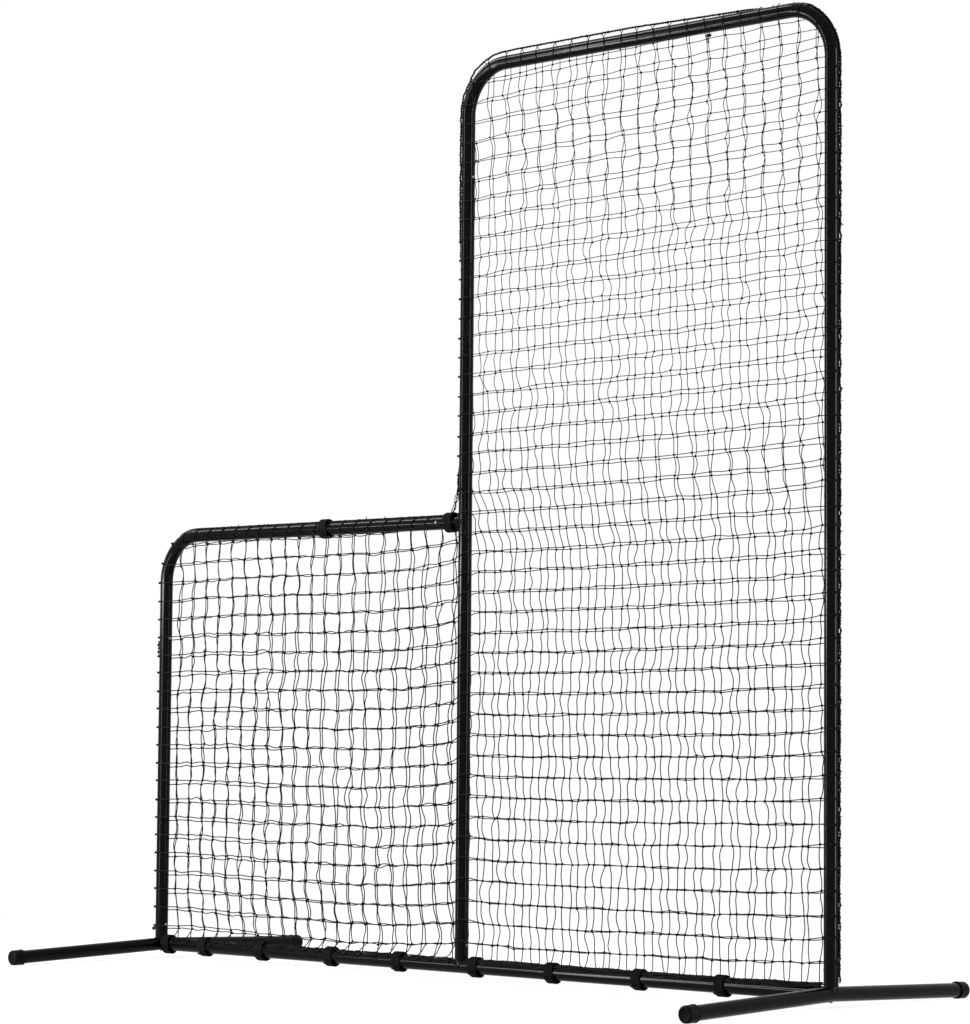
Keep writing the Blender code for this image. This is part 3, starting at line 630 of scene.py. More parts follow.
def cap_profile():
    """The cap's section from the bottom of its bore, round its mouth and bead, to its dished end."""
    bore = TUBE_R + FIT_GAP
    mouth = -CAP_GRIP
    bead = CAP_R + BEAD_RISE
    eased = CAP_R + BEAD_RISE * 0.5
    bead_end = mouth + BEAD_WIDTH
    profile = [
        (FIT_GAP, bore),
        (mouth + LIP, bore),
        (mouth, bore + LIP),
        (mouth, CAP_R - LIP),
        (mouth + BEAD_RISE * 0.3, eased),
        (mouth + BEAD_RISE, bead),
        (bead_end - BEAD_RISE, bead),
        (bead_end - BEAD_RISE * 0.3, eased),
        (bead_end, CAP_R),
    ]
    for i in range(CAP_STEPS + 1):
        turn = math.pi / 2 * i / CAP_STEPS
        across = CAP_R - CAP_ROUND * (1 - math.cos(turn))
        profile.append((CAP_CROWN - CAP_ROUND * (1 - math.sin(turn)), across))
    rim = CAP_R - CAP_ROUND
    for inward, down in ((1, 0), (1.5, 0.5), (2.2, 1)):
        profile.append((CAP_CROWN - DISH_DEPTH * down, rim - inward * DISH_RIM))
    return profile


def end_caps(look):
    """Four caps on the foot bars' ends, flat where they stand on the floor."""
    caps = {}
    for side, x in (("left", LEFT_X), ("right", RIGHT_X)):
        for end, sign in (("front", -1), ("rear", 1)):
            centre, tangent = drooping_bar(sign * BAR_HALF)
            outward = Vector((0, tangent.z, tangent.x)) * sign
            start = Vector((x, centre.z, RAIL_Z + centre.x))
            place = pose(start, outward, ALONG_X)
            cap = skinned("cap", rings_along(straight, cap_profile()), look, place)
            lift = place.inverted()
            for point in cap.data.vertices:
                world = place @ point.co
                if world.z < 0:
                    world.z = 0
                    point.co = lift @ world
            caps[f"end_cap_{side}_{end}"] = cap
    return caps


# Sprung buttons

def joints():
    """Each joint: name, sleeve, spigot, the sleeve's mouth (x, z), the way into it and its button's side."""
    up, left, right, rear = ALONG_Z, -ALONG_X, ALONG_X, ALONG_Y
    rise = RAIL_Z + SEAT
    low_z = SHOULDER_Z - CORNER_LEG
    high_z = TOP_Z - CORNER_LEG
    return (
        ("left_foot_up", "left_post", "left_foot", (LEFT_X, rise), up, right),
        ("left_foot_side", "bottom_rail_left", "left_foot", (LEFT_X + SEAT, RAIL_Z), right, rear),
        ("right_foot_up", "right_post_lower", "right_foot", (RIGHT_X, rise), up, left),
        ("right_foot_side", "bottom_rail_right", "right_foot", (RIGHT_X - SEAT, RAIL_Z), left, rear),
        ("mid_stub", "mid_post_lower", "bottom_rail_left", (MID_X, rise), up, right),
        ("bottom_rail", "bottom_rail_right", "bottom_rail_left", (RAIL_SEAM_X, RAIL_Z), right, rear),
        ("left_post_top", "low_corner", "left_post", (LEFT_X, low_z), up, right),
        ("shoulder_left", "low_corner", "shoulder_rail", (LEFT_X + CORNER_LEG, SHOULDER_Z), left, rear),
        ("shoulder_right", "shoulder_rail", "mid_post_upper", (MID_X - ARM_REACH, SHOULDER_Z), left, -rear),
        ("mid_post_seam", "mid_post_upper", "mid_post_lower", (MID_X, POST_SEAM_Z), up, rear),
        ("mid_post_top", "inner_top_corner", "mid_post_upper", (MID_X, high_z), up, right),
        ("top_rail_left", "inner_top_corner", "top_rail", (MID_X + CORNER_LEG, TOP_Z), left, rear),
        ("top_rail_right", "outer_top_corner", "top_rail", (RIGHT_X - CORNER_LEG, TOP_Z), right, rear),
        ("right_post_top", "outer_top_corner", "right_post_upper", (RIGHT_X, high_z), up, left),
        ("right_post_seam", "right_post_upper", "right_post_lower", (RIGHT_X, POST_SEAM_Z), up, rear),
    )


def leaf_path():
    """Middle line of the folded leaf as (along the tube, towards the button)."""
    clear_r = SPIGOT_BORE_R * math.cos(math.pi / PACKED_SIDES) - FIT_GAP
    seat = math.sqrt(clear_r ** 2 - (LEAF_WIDTH / 2) ** 2) - LEAF_THICK / 2
    travel = TUBE_R + BUTTON_PROUD - SPIGOT_R
    path = [(LEAF_FRONT, seat), (-0.10 * LEAF_BACK, seat)]
    for i in range(LEAF_STEPS + 1):
        turn = math.pi / 2 - math.pi * 0.86 * i / LEAF_STEPS
        path.append((-LEAF_BACK * (0.62 + 0.38 * math.cos(turn)), seat * (0.58 + 0.40 * math.sin(turn))))
    path.append((LEAF_FRONT, travel - seat))
    return path


def button_mesh(look):
    """One button riveted to its leaf. Its own Z is the way it sticks out, its X the way into the sleeve."""
    path = leaf_path()
    half = LEAF_THICK / 2
    width = LEAF_WIDTH / 2
    rows = []
    for i, (along, towards) in enumerate(path):
        before = Vector(path[max(i - 1, 0)])
        after = Vector(path[min(i + 1, len(path) - 1)])
        run = (after - before).normalized()
        side = Vector((-run.y, run.x))
        section = []
        for sign in (1, -1):
            for across in (-width, -width + half, width - half, width)[::sign]:
                depth = half if abs(across) < width - half / 2 else half * LEAF_EDGE_SHARE
                offset = side * (depth * sign)
                section.append(Vector((along + offset.x, across, towards + offset.y)))
        rows.append(section)
    leaf = skinned("leaf", rows, look)
    top = TUBE_R + BUTTON_PROUD
    dome = [(path[0][1], BUTTON_R)]
    for i in range(DOME_STEPS + 1):
        turn = math.pi / 2 * i / DOME_STEPS
        height = top - BUTTON_R * DOME_SHARE * (1 - math.sin(turn))
        dome.append((height, BUTTON_R * max(math.cos(turn), DOME_TIP_SHARE)))
    rings = [ring(*straight(height), radius, BUTTON_SIDES) for height, radius in dome]
    combine(leaf, "UNION", skinned("head", rings, look))
    mesh = leaf.data
    bpy.data.objects.remove(leaf)
    mesh.shade_smooth()
    mesh.set_sharp_from_angle(angle=SHARP_ANGLE)
    return mesh


def lock_joints(tubes, look):
    """Cut each joint's button hole through sleeve and spigot, and put its button in."""
    mesh = button_mesh(look)
    ends = (BORE_R / 2, TUBE_R + OVERRUN)
    hole = [ring(*straight(height), BUTTON_R + HOLE_GAP, BUTTON_SIDES) for height in ends]
    for name, sleeve, spigot, (mouth_x, mouth_z), inward, face in joints():
        turn = Matrix((inward, face.cross(inward), face)).transposed().to_4x4()
        centre = Vector((mouth_x, 0, mouth_z)) + inward * BUTTON_SETBACK
        place = Matrix.Translation(centre) @ turn
        for tube in (sleeve, spigot):
            combine(tubes[tube], "DIFFERENCE", skinned("hole", hole, look, place))
        button = link(f"button_and_leaf_{name}", mesh, place)
        dress(button, "snap_button", f"snap_button_{name}", body=f"button_{name}")


# Round strands

class Strands:
    """Many round strands in one mesh. U runs round a strand, V once along each turn of its twist."""

    def __init__(self, lay=TWINE_LAY):
        self.lay = lay
        self.points = []
        self.faces = []
        self.uvs = []
        self.count = 0

    def add(self, path, radius, sides=5, closed=False, up=(0, 1, 0)):
        """Sweep a section along a path. up is any direction that the path never follows."""
        path = np.asarray(path, float)
        count = len(path)
        if closed:
            ahead = np.roll(path, -1, 0) - np.roll(path, 1, 0)
        else:
            ahead = np.gradient(path, axis=0)
        ahead /= np.linalg.norm(ahead, axis=1, keepdims=True)
        over = np.asarray(up, float) - ahead * (ahead @ np.asarray(up, float))[:, None]
        short = np.linalg.norm(over, axis=1, keepdims=True) < 0.15
        over = np.where(short, np.cross(ahead, (0.31, 0.52, 0.79)), over)
        over /= np.linalg.norm(over, axis=1, keepdims=True)
        aside = np.cross(ahead, over)
        turn = np.arange(sides) * math.tau / sides
        radius = np.broadcast_to(radius, count)[:, None, None]
        points = path[:, None] + radius * (over[:, None] * np.cos(turn)[None, :, None]
                                           + aside[:, None] * np.sin(turn)[None, :, None])
        steps = np.linalg.norm(np.diff(path, axis=0), axis=1)
        along = np.concatenate(([0], np.cumsum(steps))) / self.lay
        rows = count if closed else count - 1
        i = np.repeat(np.arange(rows), sides)
        j = np.tile(np.arange(sides), rows)
        following = (i + 1) % count
        beside = (j + 1) % sides
        near = i * sides
        far = following * sides
        quads = np.stack((near + j, near + beside, far + beside, far + j), 1)
        end = np.where(following > i, along[following], along[i] + 0.2)
        u = np.stack((j, j + 1, j + 1, j), 1) / sides
        v = np.stack((along[i], along[i], end, end), 1)
        self.points.append(points.reshape(-1, 3))
        self.faces += (quads + self.count).tolist()
        self.uvs.append(np.stack((u, v), 2).reshape(-1, 2))
        if not closed:
            for start in (0, (count - 1) * sides):
                face = list(range(start, start + sides))
                self.faces.append([k + self.count for k in (face[::-1] if start == 0 else face)])
                self.uvs.append(np.zeros((sides, 2)))
        self.count += count * sides

    def stamp(self, shape, places):
        """Copies of a (points, quads, uvs) shape at a list of 4x4 matrices."""
        points, quads, uvs = shape
        for place in places:
            turn = np.array(place)
            self.points.append(points @ turn[:3, :3].T + turn[:3, 3])
            self.faces += (quads + self.count).tolist()
            self.uvs.append(uvs)
            self.count += len(points)

    def shape(self):
        """What has been gathered, for stamping. Only for closed strands."""
        return np.concatenate(self.points), np.array(self.faces), np.concatenate(self.uvs)

    def piece(self, name, look):
        mesh = bpy.data.meshes.new(name)
        mesh.from_pydata(np.concatenate(self.points).tolist(), [], self.faces)
        uv = mesh.uv_layers.new(name="strand")
        uv.data.foreach_set("uv", np.concatenate(self.uvs).astype(np.float32).ravel())
        mesh.materials.append(look)
        mesh.shade_smooth()
        return link(name, mesh)


def smooth_path(points, steps):
    """A Catmull-Rom path through points, with steps to each span."""
    points = np.asarray(points, float)
    before = np.vstack((2 * points[0] - points[1], points[:-2]))
    after = np.vstack((points[2:], 2 * points[-1] - points[-2]))
    share = (np.arange(steps) / steps)[None, :, None]
    a, b, c, d = before[:, None], points[:-1, None], points[1:, None], after[:, None]
    path = 0.5 * (2 * b + (c - a) * share + (2 * a - 5 * b + 4 * c - d) * share ** 2
                  + (3 * b - a - 3 * c + d) * share ** 3)
    return np.vstack((path.reshape(-1, 3), points[-1]))


def ramp(value, start, end):
    """0 before start and 1 after end, eased between."""
    share = min(max((value - start) / (end - start), 0), 1)
    return share * share * (3 - 2 * share)


def knot_shape():
    """A pulled-down netting knot: two small turns of twine, one leaning over the other."""
    strands = Strands()
    turn = np.arange(KNOT_STEPS) * math.tau / KNOT_STEPS
    for lean, long, flat in ((0.55, 1.15, 1), (-0.6, 1.0, -1)):
        x = KNOT_R * long * np.cos(turn)
        z = KNOT_R * 0.95 * np.sin(turn)
        y = lean * x * 0.6 + flat * 0.45 * MM * np.sin(2 * turn)
        strands.add(np.stack((x, y, z), 1), KNOT_TURN_R, sides=5, closed=True, up=(0.2, 1, 0.1))
    return strands.shape()


# The net's outline

BEND_END_SHARE = 0.98


def outline_bend(x, z, tall):
    """The bend that a point lies in, as (centre x, centre z), or None."""
    if tall:
        bends = ((MID_X + BEND_R, TOP_Z - BEND_R, -1), (RIGHT_X - BEND_R, TOP_Z - BEND_R, 1))
    else:
        bends = ((LEFT_X + BEND_R, SHOULDER_Z - BEND_R, -1),)
    for cx, cz, side in bends:
        if (x - cx) * side > 0 and z > cz:
            return cx, cz
    return None


def limits(tall):
    """Left, right and top centre lines of a panel's tubes."""
    return (MID_X, RIGHT_X, TOP_Z) if tall else (LEFT_X, MID_X, SHOULDER_Z)


def depth_inside(x, z, tall):
    """How far a point is inside the centre lines of the tubes at its sides and top."""
    left, right, top = limits(tall)
    depth = min(x - left, right - x, top - z)
    bend = outline_bend(x, z, tall)
    if bend:
        depth = min(depth, BEND_R - math.hypot(x - bend[0], z - bend[1]))
    return depth


def on_bend(bend, x, z):
    """A point on a bend's centre line, and the direction outward from there."""
    place = Vector((x, 0, z))
    return place, (place - Vector((bend[0], 0, bend[1]))).normalized()


def row_end(z, side, tall):
    """Where a level line meets the tube at a panel's left (-1) or right (1): place and outward direction."""
    left, right, _ = limits(tall)
    x = right if side > 0 else left
    bend = outline_bend(x - side * MM, z, tall)
    if bend:
        rise = min(z - bend[1], BEND_R * BEND_END_SHARE)
        return on_bend(bend, bend[0] + side * math.sqrt(BEND_R ** 2 - rise ** 2), z)
    return Vector((x, 0, z)), ALONG_X * side


def column_end(x, tall):
    """Where an upright line meets the tube at a panel's top: place and outward direction."""
    _, _, top = limits(tall)
    bend = outline_bend(x, top - MM, tall)
    if bend:
        reach = BEND_R * BEND_END_SHARE
        run = max(-reach, min(x - bend[0], reach))
        return on_bend(bend, x, bend[1] + math.sqrt(BEND_R ** 2 - run ** 2))
    return Vector((x, 0, top)), ALONG_Z


def part_way(value, marks):
    """A value read off straight lines between (place, value) marks."""
    places, values = zip(*marks)
    return float(np.interp(value, places, values))


# Marks of the twine's radius in mm against the height in metres, and of how far in mm the edge strand stands
# off the top rail against X in metres.
LOW_TWINE = ((0.75, 1.35), (0.95, 1.2))
TALL_TWINE = ((0.6, 1.22), (1.05, 1.1), (1.45, 0.9))
TOP_STAND = ((0.01, 2), (0.06, 6.5), (0.14, 9), (0.5, 9), (0.68, 4), (0.82, 0.5))
TOP_STAND_BAND = 40 * MM
SHOULDER_DRAWN_IN = 1.2 * MM
RIGHT_DRAWN_IN = 0.8 * MM


def twine_radius(place, part):
    """The twine's radius at a point: it has fluffed up where the net hangs slack."""
    return part_way(place[2], LOW_TWINE if part == "low" else TALL_TWINE) * MM


def strand_offset(place):
    """How far the edge strand runs from the tube's centre line: it stands off over the top rail."""
    if place.x < MID_X - ARM_REACH and place.z > SHOULDER_Z - BEND_R - MM:
        return CORD_OFFSET - SHOULDER_DRAWN_IN
    if place.x > RIGHT_X - BEND_R - MM:
        return CORD_OFFSET - RIGHT_DRAWN_IN
    if place.z > TOP_Z - TOP_STAND_BAND and MID_X < place.x < RIGHT_X:
        return CORD_OFFSET + part_way(place.x, TOP_STAND) * MM
    return CORD_OFFSET


# Each layer's knots have a column and a row number. Columns count to the right and rows upward, and the low
# panel's row law counts ROW_SHIFT higher than the tall one's. A column or row is a smooth law, and the knots
# wander a little from it.

FIRST_ROW = -32
SHOULDER_ROW = -12
LAST_ROW = 12
ROW_SHIFT = 12
TALL_COLUMNS = range(-7, 15)
LOW_COLUMNS = range(-4, 17)

# Where column 0 lies and how far apart columns are, in mm against the height in metres. The rear layer's
# columns are shifted left, by mm against the height in the tall panel and against X in mm in the low one. The
# low panel's rear rows drop toward the left, by mm against their height in mm.
TALL_START = (
    (0.93, 364.5), (0.997, 361.5), (1.045, 353), (1.093, 345.5), (1.14, 334), (1.232, 330), (1.322, 325),
    (1.413, 321.5), (1.503, 324), (1.596, 321.5), (1.69, 324), (1.782, 331), (1.969, 333), (2.063, 324),
)
TALL_PITCH = ((0.93, 48.7), (1.045, 49.4), (1.14, 50.9), (1.232, 50.5))
TALL_REAR_SHIFT = (
    (0.85, 5), (1.045, 7), (1.14, 12), (1.19, 13.5), (1.232, 9), (1.28, 3), (1.413, 0.5),
    (1.503, 6), (1.69, 9), (1.782, 21), (1.876, 26.5), (1.969, 28), (2.063, 17),
)
TALL_REAR_PITCH_LOSS = 0.4
LOW_START = ((0.08, -786), (0.125, -791), (0.175, -801), (0.25, -804), (0.6, -799), (0.96, -794))
LOW_PITCH = 47.8
LOW_REAR_SHIFT = ((-900, 36), (-600, 33), (-200, 24))
LOW_REAR_DROP = ((250, 11), (700, 8), (900, 0))

# A row's height in mm is a cubic in the row's share of the way up, plus a tilt and a curve across the panel
# and a pull within a short reach of a post. The middles, half widths and reaches are in metres.
ROW_BASE = 10
ROW_COUNT = 20
TALL_MIDDLE = 0.525
TALL_HALF = 0.534
LOW_MIDDLE = -0.534
LOW_HALF = 0.525
RIGHT_PULL_REACH = 0.045
LEFT_PULL_REACH = 0.070
LOW_PULL_REACH = 0.060
TALL_ROWS = {
    -1: ((1138.5, 936.1, -14.2, 3.8), (9.6, 4.5, 2.8), 8.4, 12.4),
    1: ((1135.4, 935.3, -14.2, 3.1), (7.4, 0.2, 3.2), 1.4, 5.8),
}
LOW_ROWS = (533.2, 928.6, 11.5, -8.5)


def tall_column(face, n, z):
    start = part_way(z, TALL_START)
    pitch = part_way(z, TALL_PITCH)
    if face > 0:
        start -= part_way(z, TALL_REAR_SHIFT)
        pitch -= TALL_REAR_PITCH_LOSS
    return (start + pitch * n) * MM


def cubic(value, factors):
    first, second, third, fourth = factors
    return first + second * value + third * value * value + fourth * value ** 3


def tall_row(face, k, x):
    rise = (k + ROW_BASE) / ROW_COUNT
    across = (x - TALL_MIDDLE) / TALL_HALF
    factors, (lean, twist, curve), right_pull, left_pull = TALL_ROWS[face]
    tilt = lean * across + twist * across * rise + curve * across * across
    near_right = math.exp(-(RIGHT_X - x) / RIGHT_PULL_REACH)
    near_left = math.exp(-(x - MID_X) / LEFT_PULL_REACH)
    return (cubic(rise, factors) + tilt + right_pull * near_right - left_pull * rise * near_left) * MM


def low_column(face, n, z):
    x = part_way(z, LOW_START) + LOW_PITCH * n
    if face > 0:
        x -= part_way(x, LOW_REAR_SHIFT)
    return x * MM


def low_row(face, k, x):
    rise = (k + ROW_BASE) / ROW_COUNT
    across = (x - LOW_MIDDLE) / LOW_HALF
    tilt = -8.7 * across + 11.7 * across * rise + 9.9 * across * across * (1 - rise) + 18.7 * across ** 3
    near_right = math.exp(-(MID_X - x) / LOW_PULL_REACH)
    z = cubic(rise, LOW_ROWS) + tilt + 10.8 * rise * near_right
    if face > 0:
        z -= part_way(z, LOW_REAR_DROP) * (1 - ramp(x, -0.75, -0.5))
    return z * MM


class Hang:
    """How the net's knots wander and its upright cords bow. The two layers share most of it."""

    ROW_STEPS = 60
    FIRST_STEP = 25
    BLUR = (0.5, 0.8, 1, 0.8, 0.5)
    BLUR_SIZE = 1.67
    BOW = 3.0
    BOW_VARIES = 1.6
    ODD_BOW_SHARE = 0.3

    def __init__(self, seed):
        self.rng = np.random.default_rng(seed)
        self.rows = {}
        self.slips = {}
        self.bows = {}

    def row(self, k):
        if k not in self.rows:
            steps = self.rng.normal(0, 1, self.ROW_STEPS)
            self.rows[k] = np.convolve(steps, self.BLUR, "same") / self.BLUR_SIZE
        return self.rows[k]

    def slip(self, n, k):
        """Sideways along the row, and the knot's own shift in X and Z."""
        if (n, k) not in self.slips:
            self.slips[n, k] = self.rng.normal(0, 1, 2)
        return self.row(k)[(n + self.FIRST_STEP) % self.ROW_STEPS], *self.slips[n, k]

    def bow(self, n, k):
        """The bow of span k of column n, which mostly changes side from one span to the next."""
        if (n, k) not in self.bows:
            side = 1 if (n * 5 + k) % 2 else -1
            if self.rng.random() < self.ODD_BOW_SHARE:
                side = -side
            self.bows[n, k] = side * abs(self.rng.normal(self.BOW, self.BOW_VARIES)) * MM
        return self.bows[n, k]


class Layer:
    """One layer of the whole net: its knots and the cords through them."""

    ACROSS_LIMIT = 8
    UP_LIMIT = 3
    KNOT_DEPTH = 8 * MM
    HIDDEN_KNOT_DEPTH = -4 * MM
    POST_COVER = 9 * MM
    SHOULDER_COVER = 20 * MM
    KNOT_UNEVEN = 0.3 * MM
    CROSSING_NEAR = 14 * MM
    CROSSING_FAR = 13 * MM
    POST_REACH = 45 * MM
    EARLY_END = 200 * MM
    TOP_REACH = 160 * MM
    WRAP_STEPS = 7
    TIE_LIFT = 1 * MM
    RIGHT_TIE, MIDDLE_TIE, LEFT_TIE = 70, 52, 45
    ROW_STEPS = 4
    COLUMN_STEPS = 6
    ROW_WAVE = {"tall": 0.6, "low": 1.5}

    def __init__(self, face, seed, shared):
        self.face = face
        self.rng = np.random.default_rng(seed)
        self.shared = shared
        self.own = Hang(seed + 100)
        self.y = face * LAYER_Y
        self.cords = {"tall": Strands(), "low": Strands()}
        self.knots = {"tall": {}, "low": {}}
        self.ties = []
        self.ends = []

    def slip(self, n, k):
        """A knot's wander from its column and row."""
        along, x, z = self.shared.slip(n, k)
        own_along, own_x, own_z = self.own.slip(n, k)
        across = along * 2.5 + own_along * 2.1 + x * 1.0 + own_x * 0.9
        up = z * 0.8 + own_z * 0.8
        across = float(np.clip(across, -self.ACROSS_LIMIT, self.ACROSS_LIMIT))
        return across * MM, float(np.clip(up, -self.UP_LIMIT, self.UP_LIMIT)) * MM

    def place_knots(self):
        """Put each knot where its column meets its row, found from the knot before in two turns."""
        tall_rows = range(FIRST_ROW, LAST_ROW + 1)
        low_rows = range(FIRST_ROW, SHOULDER_ROW + 2)
        areas = (
            ("tall", TALL_COLUMNS, tall_rows, tall_column, tall_row, 0, 0.5),
            ("low", LOW_COLUMNS, low_rows, low_column, low_row, ROW_SHIFT, -0.5),
        )
        for part, across, up, column, row, shift, x in areas:
            tall = part == "tall"
            for n in across:
                for k in up:
                    for _ in range(2):
                        z = row(self.face, k + shift, x)
                        x = column(self.face, n, z)
                    z = row(self.face, k + shift, x)
                    dx, dz = self.slip(n, k)
                    x += dx
                    z += dz
                    on_post = tall and x < MID_X + self.POST_COVER and z > SHOULDER_Z - self.SHOULDER_COVER
                    hidden = not tall and k > SHOULDER_ROW
                    least = self.HIDDEN_KNOT_DEPTH if hidden else self.KNOT_DEPTH
                    if depth_inside(x, z, tall) > least and not on_post:
                        y = self.y + self.rng.normal(0, self.KNOT_UNEVEN)
                        self.knots[part][n, k] = np.array((x, y, z))

    def span(self, start, end, across, up, steps):
        """Points from one knot towards the next, with a bow and a sway in each direction."""
        share = (np.arange(steps) / steps)[:, None]
        line = start + (end - start) * share
        bow = np.sin(math.pi * share[:, 0])
        sway = np.sin(math.tau * share[:, 0])
        line[:, 0] += across[0] * bow + across[1] * sway
        line[:, 2] += up[0] * bow + up[1] * sway
        return line.tolist()

    def wrap(self, place, outward, drift, tie_turn=None):
        """Carry a cord from a tube's face round to the edge strand, with any knot at tie_turn degrees."""
        axis = outward.cross(ALONG_Y)
        reach = strand_offset(place)
        points = []
        for i in range(self.WRAP_STEPS + 1):
            turn = math.pi / 2 * i / self.WRAP_STEPS
            radial = ALONG_Y * (self.face * math.cos(turn)) + outward * math.sin(turn)
            slide = axis * (drift * math.sin(turn))
            away = NET_FACE + (reach - NET_FACE) * (i / self.WRAP_STEPS) ** 3
            points.append(place + radial * away + slide)
        if tie_turn is not None:
            turn = math.radians(tie_turn)
            radial = ALONG_Y * (self.face * math.cos(turn)) + outward * math.sin(turn)
            self.ties.append(place + radial * (NET_FACE + self.TIE_LIFT) + axis * (drift * math.sin(turn)))
        self.ends.append(np.array(points[-1]))
        return [tuple(point) for point in points]

    def lay_row(self, part, held, before=(), after=()):
        path = list(before)
        wavy = self.ROW_WAVE[part]
        for near, far in zip(held, held[1:]):
            sag = self.rng.normal(-0.3, wavy) * MM
            sway = self.rng.normal(0, wavy * 0.6) * MM
            path += self.span(near, far, (0, 0), (sag, sway), self.ROW_STEPS)
        path.append(held[-1].tolist())
        path += list(after)
        self.cords[part].add(path, [twine_radius(point, part) for point in path], up=(0, 0, 1))

    def row_of(self, part, k):
        """One row's knots from left to right."""
        held = [knot for (_, row), knot in self.knots[part].items() if row == k]
        return sorted(held, key=lambda knot: knot[0])

    def crossing(self, k):
        """A row's points across the middle post's face, from the low panel's level to the tall one's."""
        y = self.face * LAYER_Y
        near = MID_X - self.CROSSING_NEAR
        far = MID_X + self.CROSSING_FAR
        start = low_row(self.face, k + ROW_SHIFT, near)
        end = tall_row(self.face, k, far)
        step = end - start
        return [(near, y, start + step * 0.15), (MID_X, y, start + step * 0.55), (far, y, end - 1 * MM)]

    def lay_rows(self):
        for k in range(FIRST_ROW, LAST_ROW + 1):
            tall = self.row_of("tall", k)
            low = self.row_of("low", k)
            if len(tall) > 1:
                place, outward = row_end(tall[-1][2], 1, True)
                after = self.wrap(place, outward, self.rng.normal(0, 1 * MM), self.RIGHT_TIE)
                before = ()
                if k > SHOULDER_ROW:
                    z = tall[0][2] - 2 * MM
                    place, outward = row_end(z, -1, True)
                    before = self.wrap(place, outward, self.rng.normal(3 * MM, 1 * MM), self.MIDDLE_TIE)[::-1]
                elif low:
                    before = [tuple(low[-1]), *self.crossing(k)]
                self.lay_row("tall", tall, before, after)
            if len(low) > 1:
                z = low[0][2] - 2 * MM
                place, outward = row_end(z, -1, False)
                before = self.wrap(place, outward, self.rng.normal(0, 1 * MM), self.LEFT_TIE)[::-1]
                after = [(MID_X, self.face * LAYER_Y, low[-1][2] + 3 * MM)] if k > SHOULDER_ROW else ()
                self.lay_row("low", low, before, after)

    def lay_columns(self, part, drift, foot):
        tall = part == "tall"
        top_row = LAST_ROW if tall else SHOULDER_ROW + 1
        knots = self.knots[part]
        for n in sorted({column for column, _ in knots}):
            held = [knots[n, k] for k in range(FIRST_ROW, top_row + 1) if (n, k) in knots]
            if len(held) < 2:
                continue
            path = [tuple(point) for point in foot(held[0])]
            for k, (near, far) in enumerate(zip(held, held[1:])):
                bow = self.shared.bow(n, k) + self.rng.normal(0, 0.8 * MM)
                path += self.span(near, far, (bow, self.rng.normal(0, 1.0 * MM)), (0, 0), self.COLUMN_STEPS)
            top = held[-1]
            path.append(top.tolist())
            limit = limits(tall)[2]
            if tall and top[0] < MID_X + self.POST_REACH and top[2] < limit - self.EARLY_END:
                path.append((MID_X + 16 * MM, self.face * (LAYER_Y + 0.3 * MM), top[2] + 34 * MM))
                place = Vector((MID_X, 0, top[2] + 55 * MM))
                path += self.wrap(place, -ALONG_X, 4 * MM, self.MIDDLE_TIE)
            elif top[2] > limit - self.TOP_REACH:
                place, outward = column_end(top[0], tall)
                path += self.wrap(place, outward, drift + self.rng.normal(0, 1.5 * MM))
            self.cords[part].add(path, [twine_radius(point, part) for point in path], up=(1, 0.02, 0))

    def finish(self, look, knot):
        layer = "front" if self.face < 0 else "rear"
        for part in ("tall", "low"):
            node = f"net_{layer}_{part}"
            dress(self.cords[part].piece(f"{node}_cords", look), "net", node)
            knots = Strands()
            tall = part == "tall"
            tied = list(self.knots[part].values())
            tied += [np.array(tie) for tie in self.ties if (tie.x > MID_X - self.POST_REACH) == tall]
            places = []
            for point in tied:
                lean = self.rng.uniform(-0.5, 0.5, 3)
                flip = math.pi * (lean[2] > 0)
                turn = Matrix.Rotation(lean[0], 4, "X") @ Matrix.Rotation(lean[1] + flip, 4, "Y")
                size = 1 + lean[2] * 0.25 + 0.55 * (twine_radius(point, part) / TWINE_R - 1)
                places.append(Matrix.Translation(point) @ turn @ Matrix.Diagonal((size, size, size, 1)))
            knots.stamp(knot, places)
            dress(knots.piece(f"{node}_knots", look), "net", node)


def over_rail(x, slant, face, marks):
    """Points over the rail, from marks of (share of the slant, mm across, mm above the rail's top)."""
    return [(x + slant * share, face * y * MM, RAIL_Z + TUBE_R + z * MM) for share, y, z in marks]


def hem_foot(face, rng, first):
    """Carry a column's foot to the gathered hem on top of the rail."""
    slant = rng.normal(-2 * MM, 3 * MM)
    return over_rail(first[0], slant, face, ((1.2, 9, 0), (1, 13, 3), (0.7, 16, 11)))


def rail_foot(face, rng, first):
    """Carry a column's foot slantwise on to the rail and back to the strand along its top."""
    slant = -18 * MM + rng.normal(0, 4 * MM)
    x = first[0] + slant * 0.5
    if face > 0:
        return over_rail(x, slant, face, ((0.6, 3, 1.5), (0.3, 10, 2), (0.1, 15, 9)))
    points = []
    marks = ((88, 2.1), (66, 1.9), (44, 1.6), (26, 1.25), (22, 1.05), (32, 0.8), (46, 0.5), (60, 0.2))
    for degrees, share in marks:
        reach = NET_FACE + (3 * MM if degrees == 60 else 0)
        turn = math.radians(degrees)
        points.append((x + slant * share, -reach * math.cos(turn), RAIL_Z + reach * math.sin(turn)))
    return points


def net_pieces(look):
    """Lay both layers, tie every crossing, and return the cord ends for the edge strand."""
    knot = knot_shape()
    shared = Hang(3)
    ends = []
    for face, seed in ((-1, 11), (1, 31)):
        layer = Layer(face, seed, shared)
        layer.place_knots()
        layer.lay_rows()
        layer.lay_columns("tall", 4 * MM, lambda first: hem_foot(face, layer.rng, first))
        layer.lay_columns("low", -12 * MM, lambda first: rail_foot(face, layer.rng, first))
        layer.finish(look, knot)
        ends += layer.ends
    return ends


# The edge strand. Raggedness runs from 0, smooth, to 1. A lean is in degrees, against the angle in radians
# round a bend, the height in metres on a post, or X in metres on the top rail.

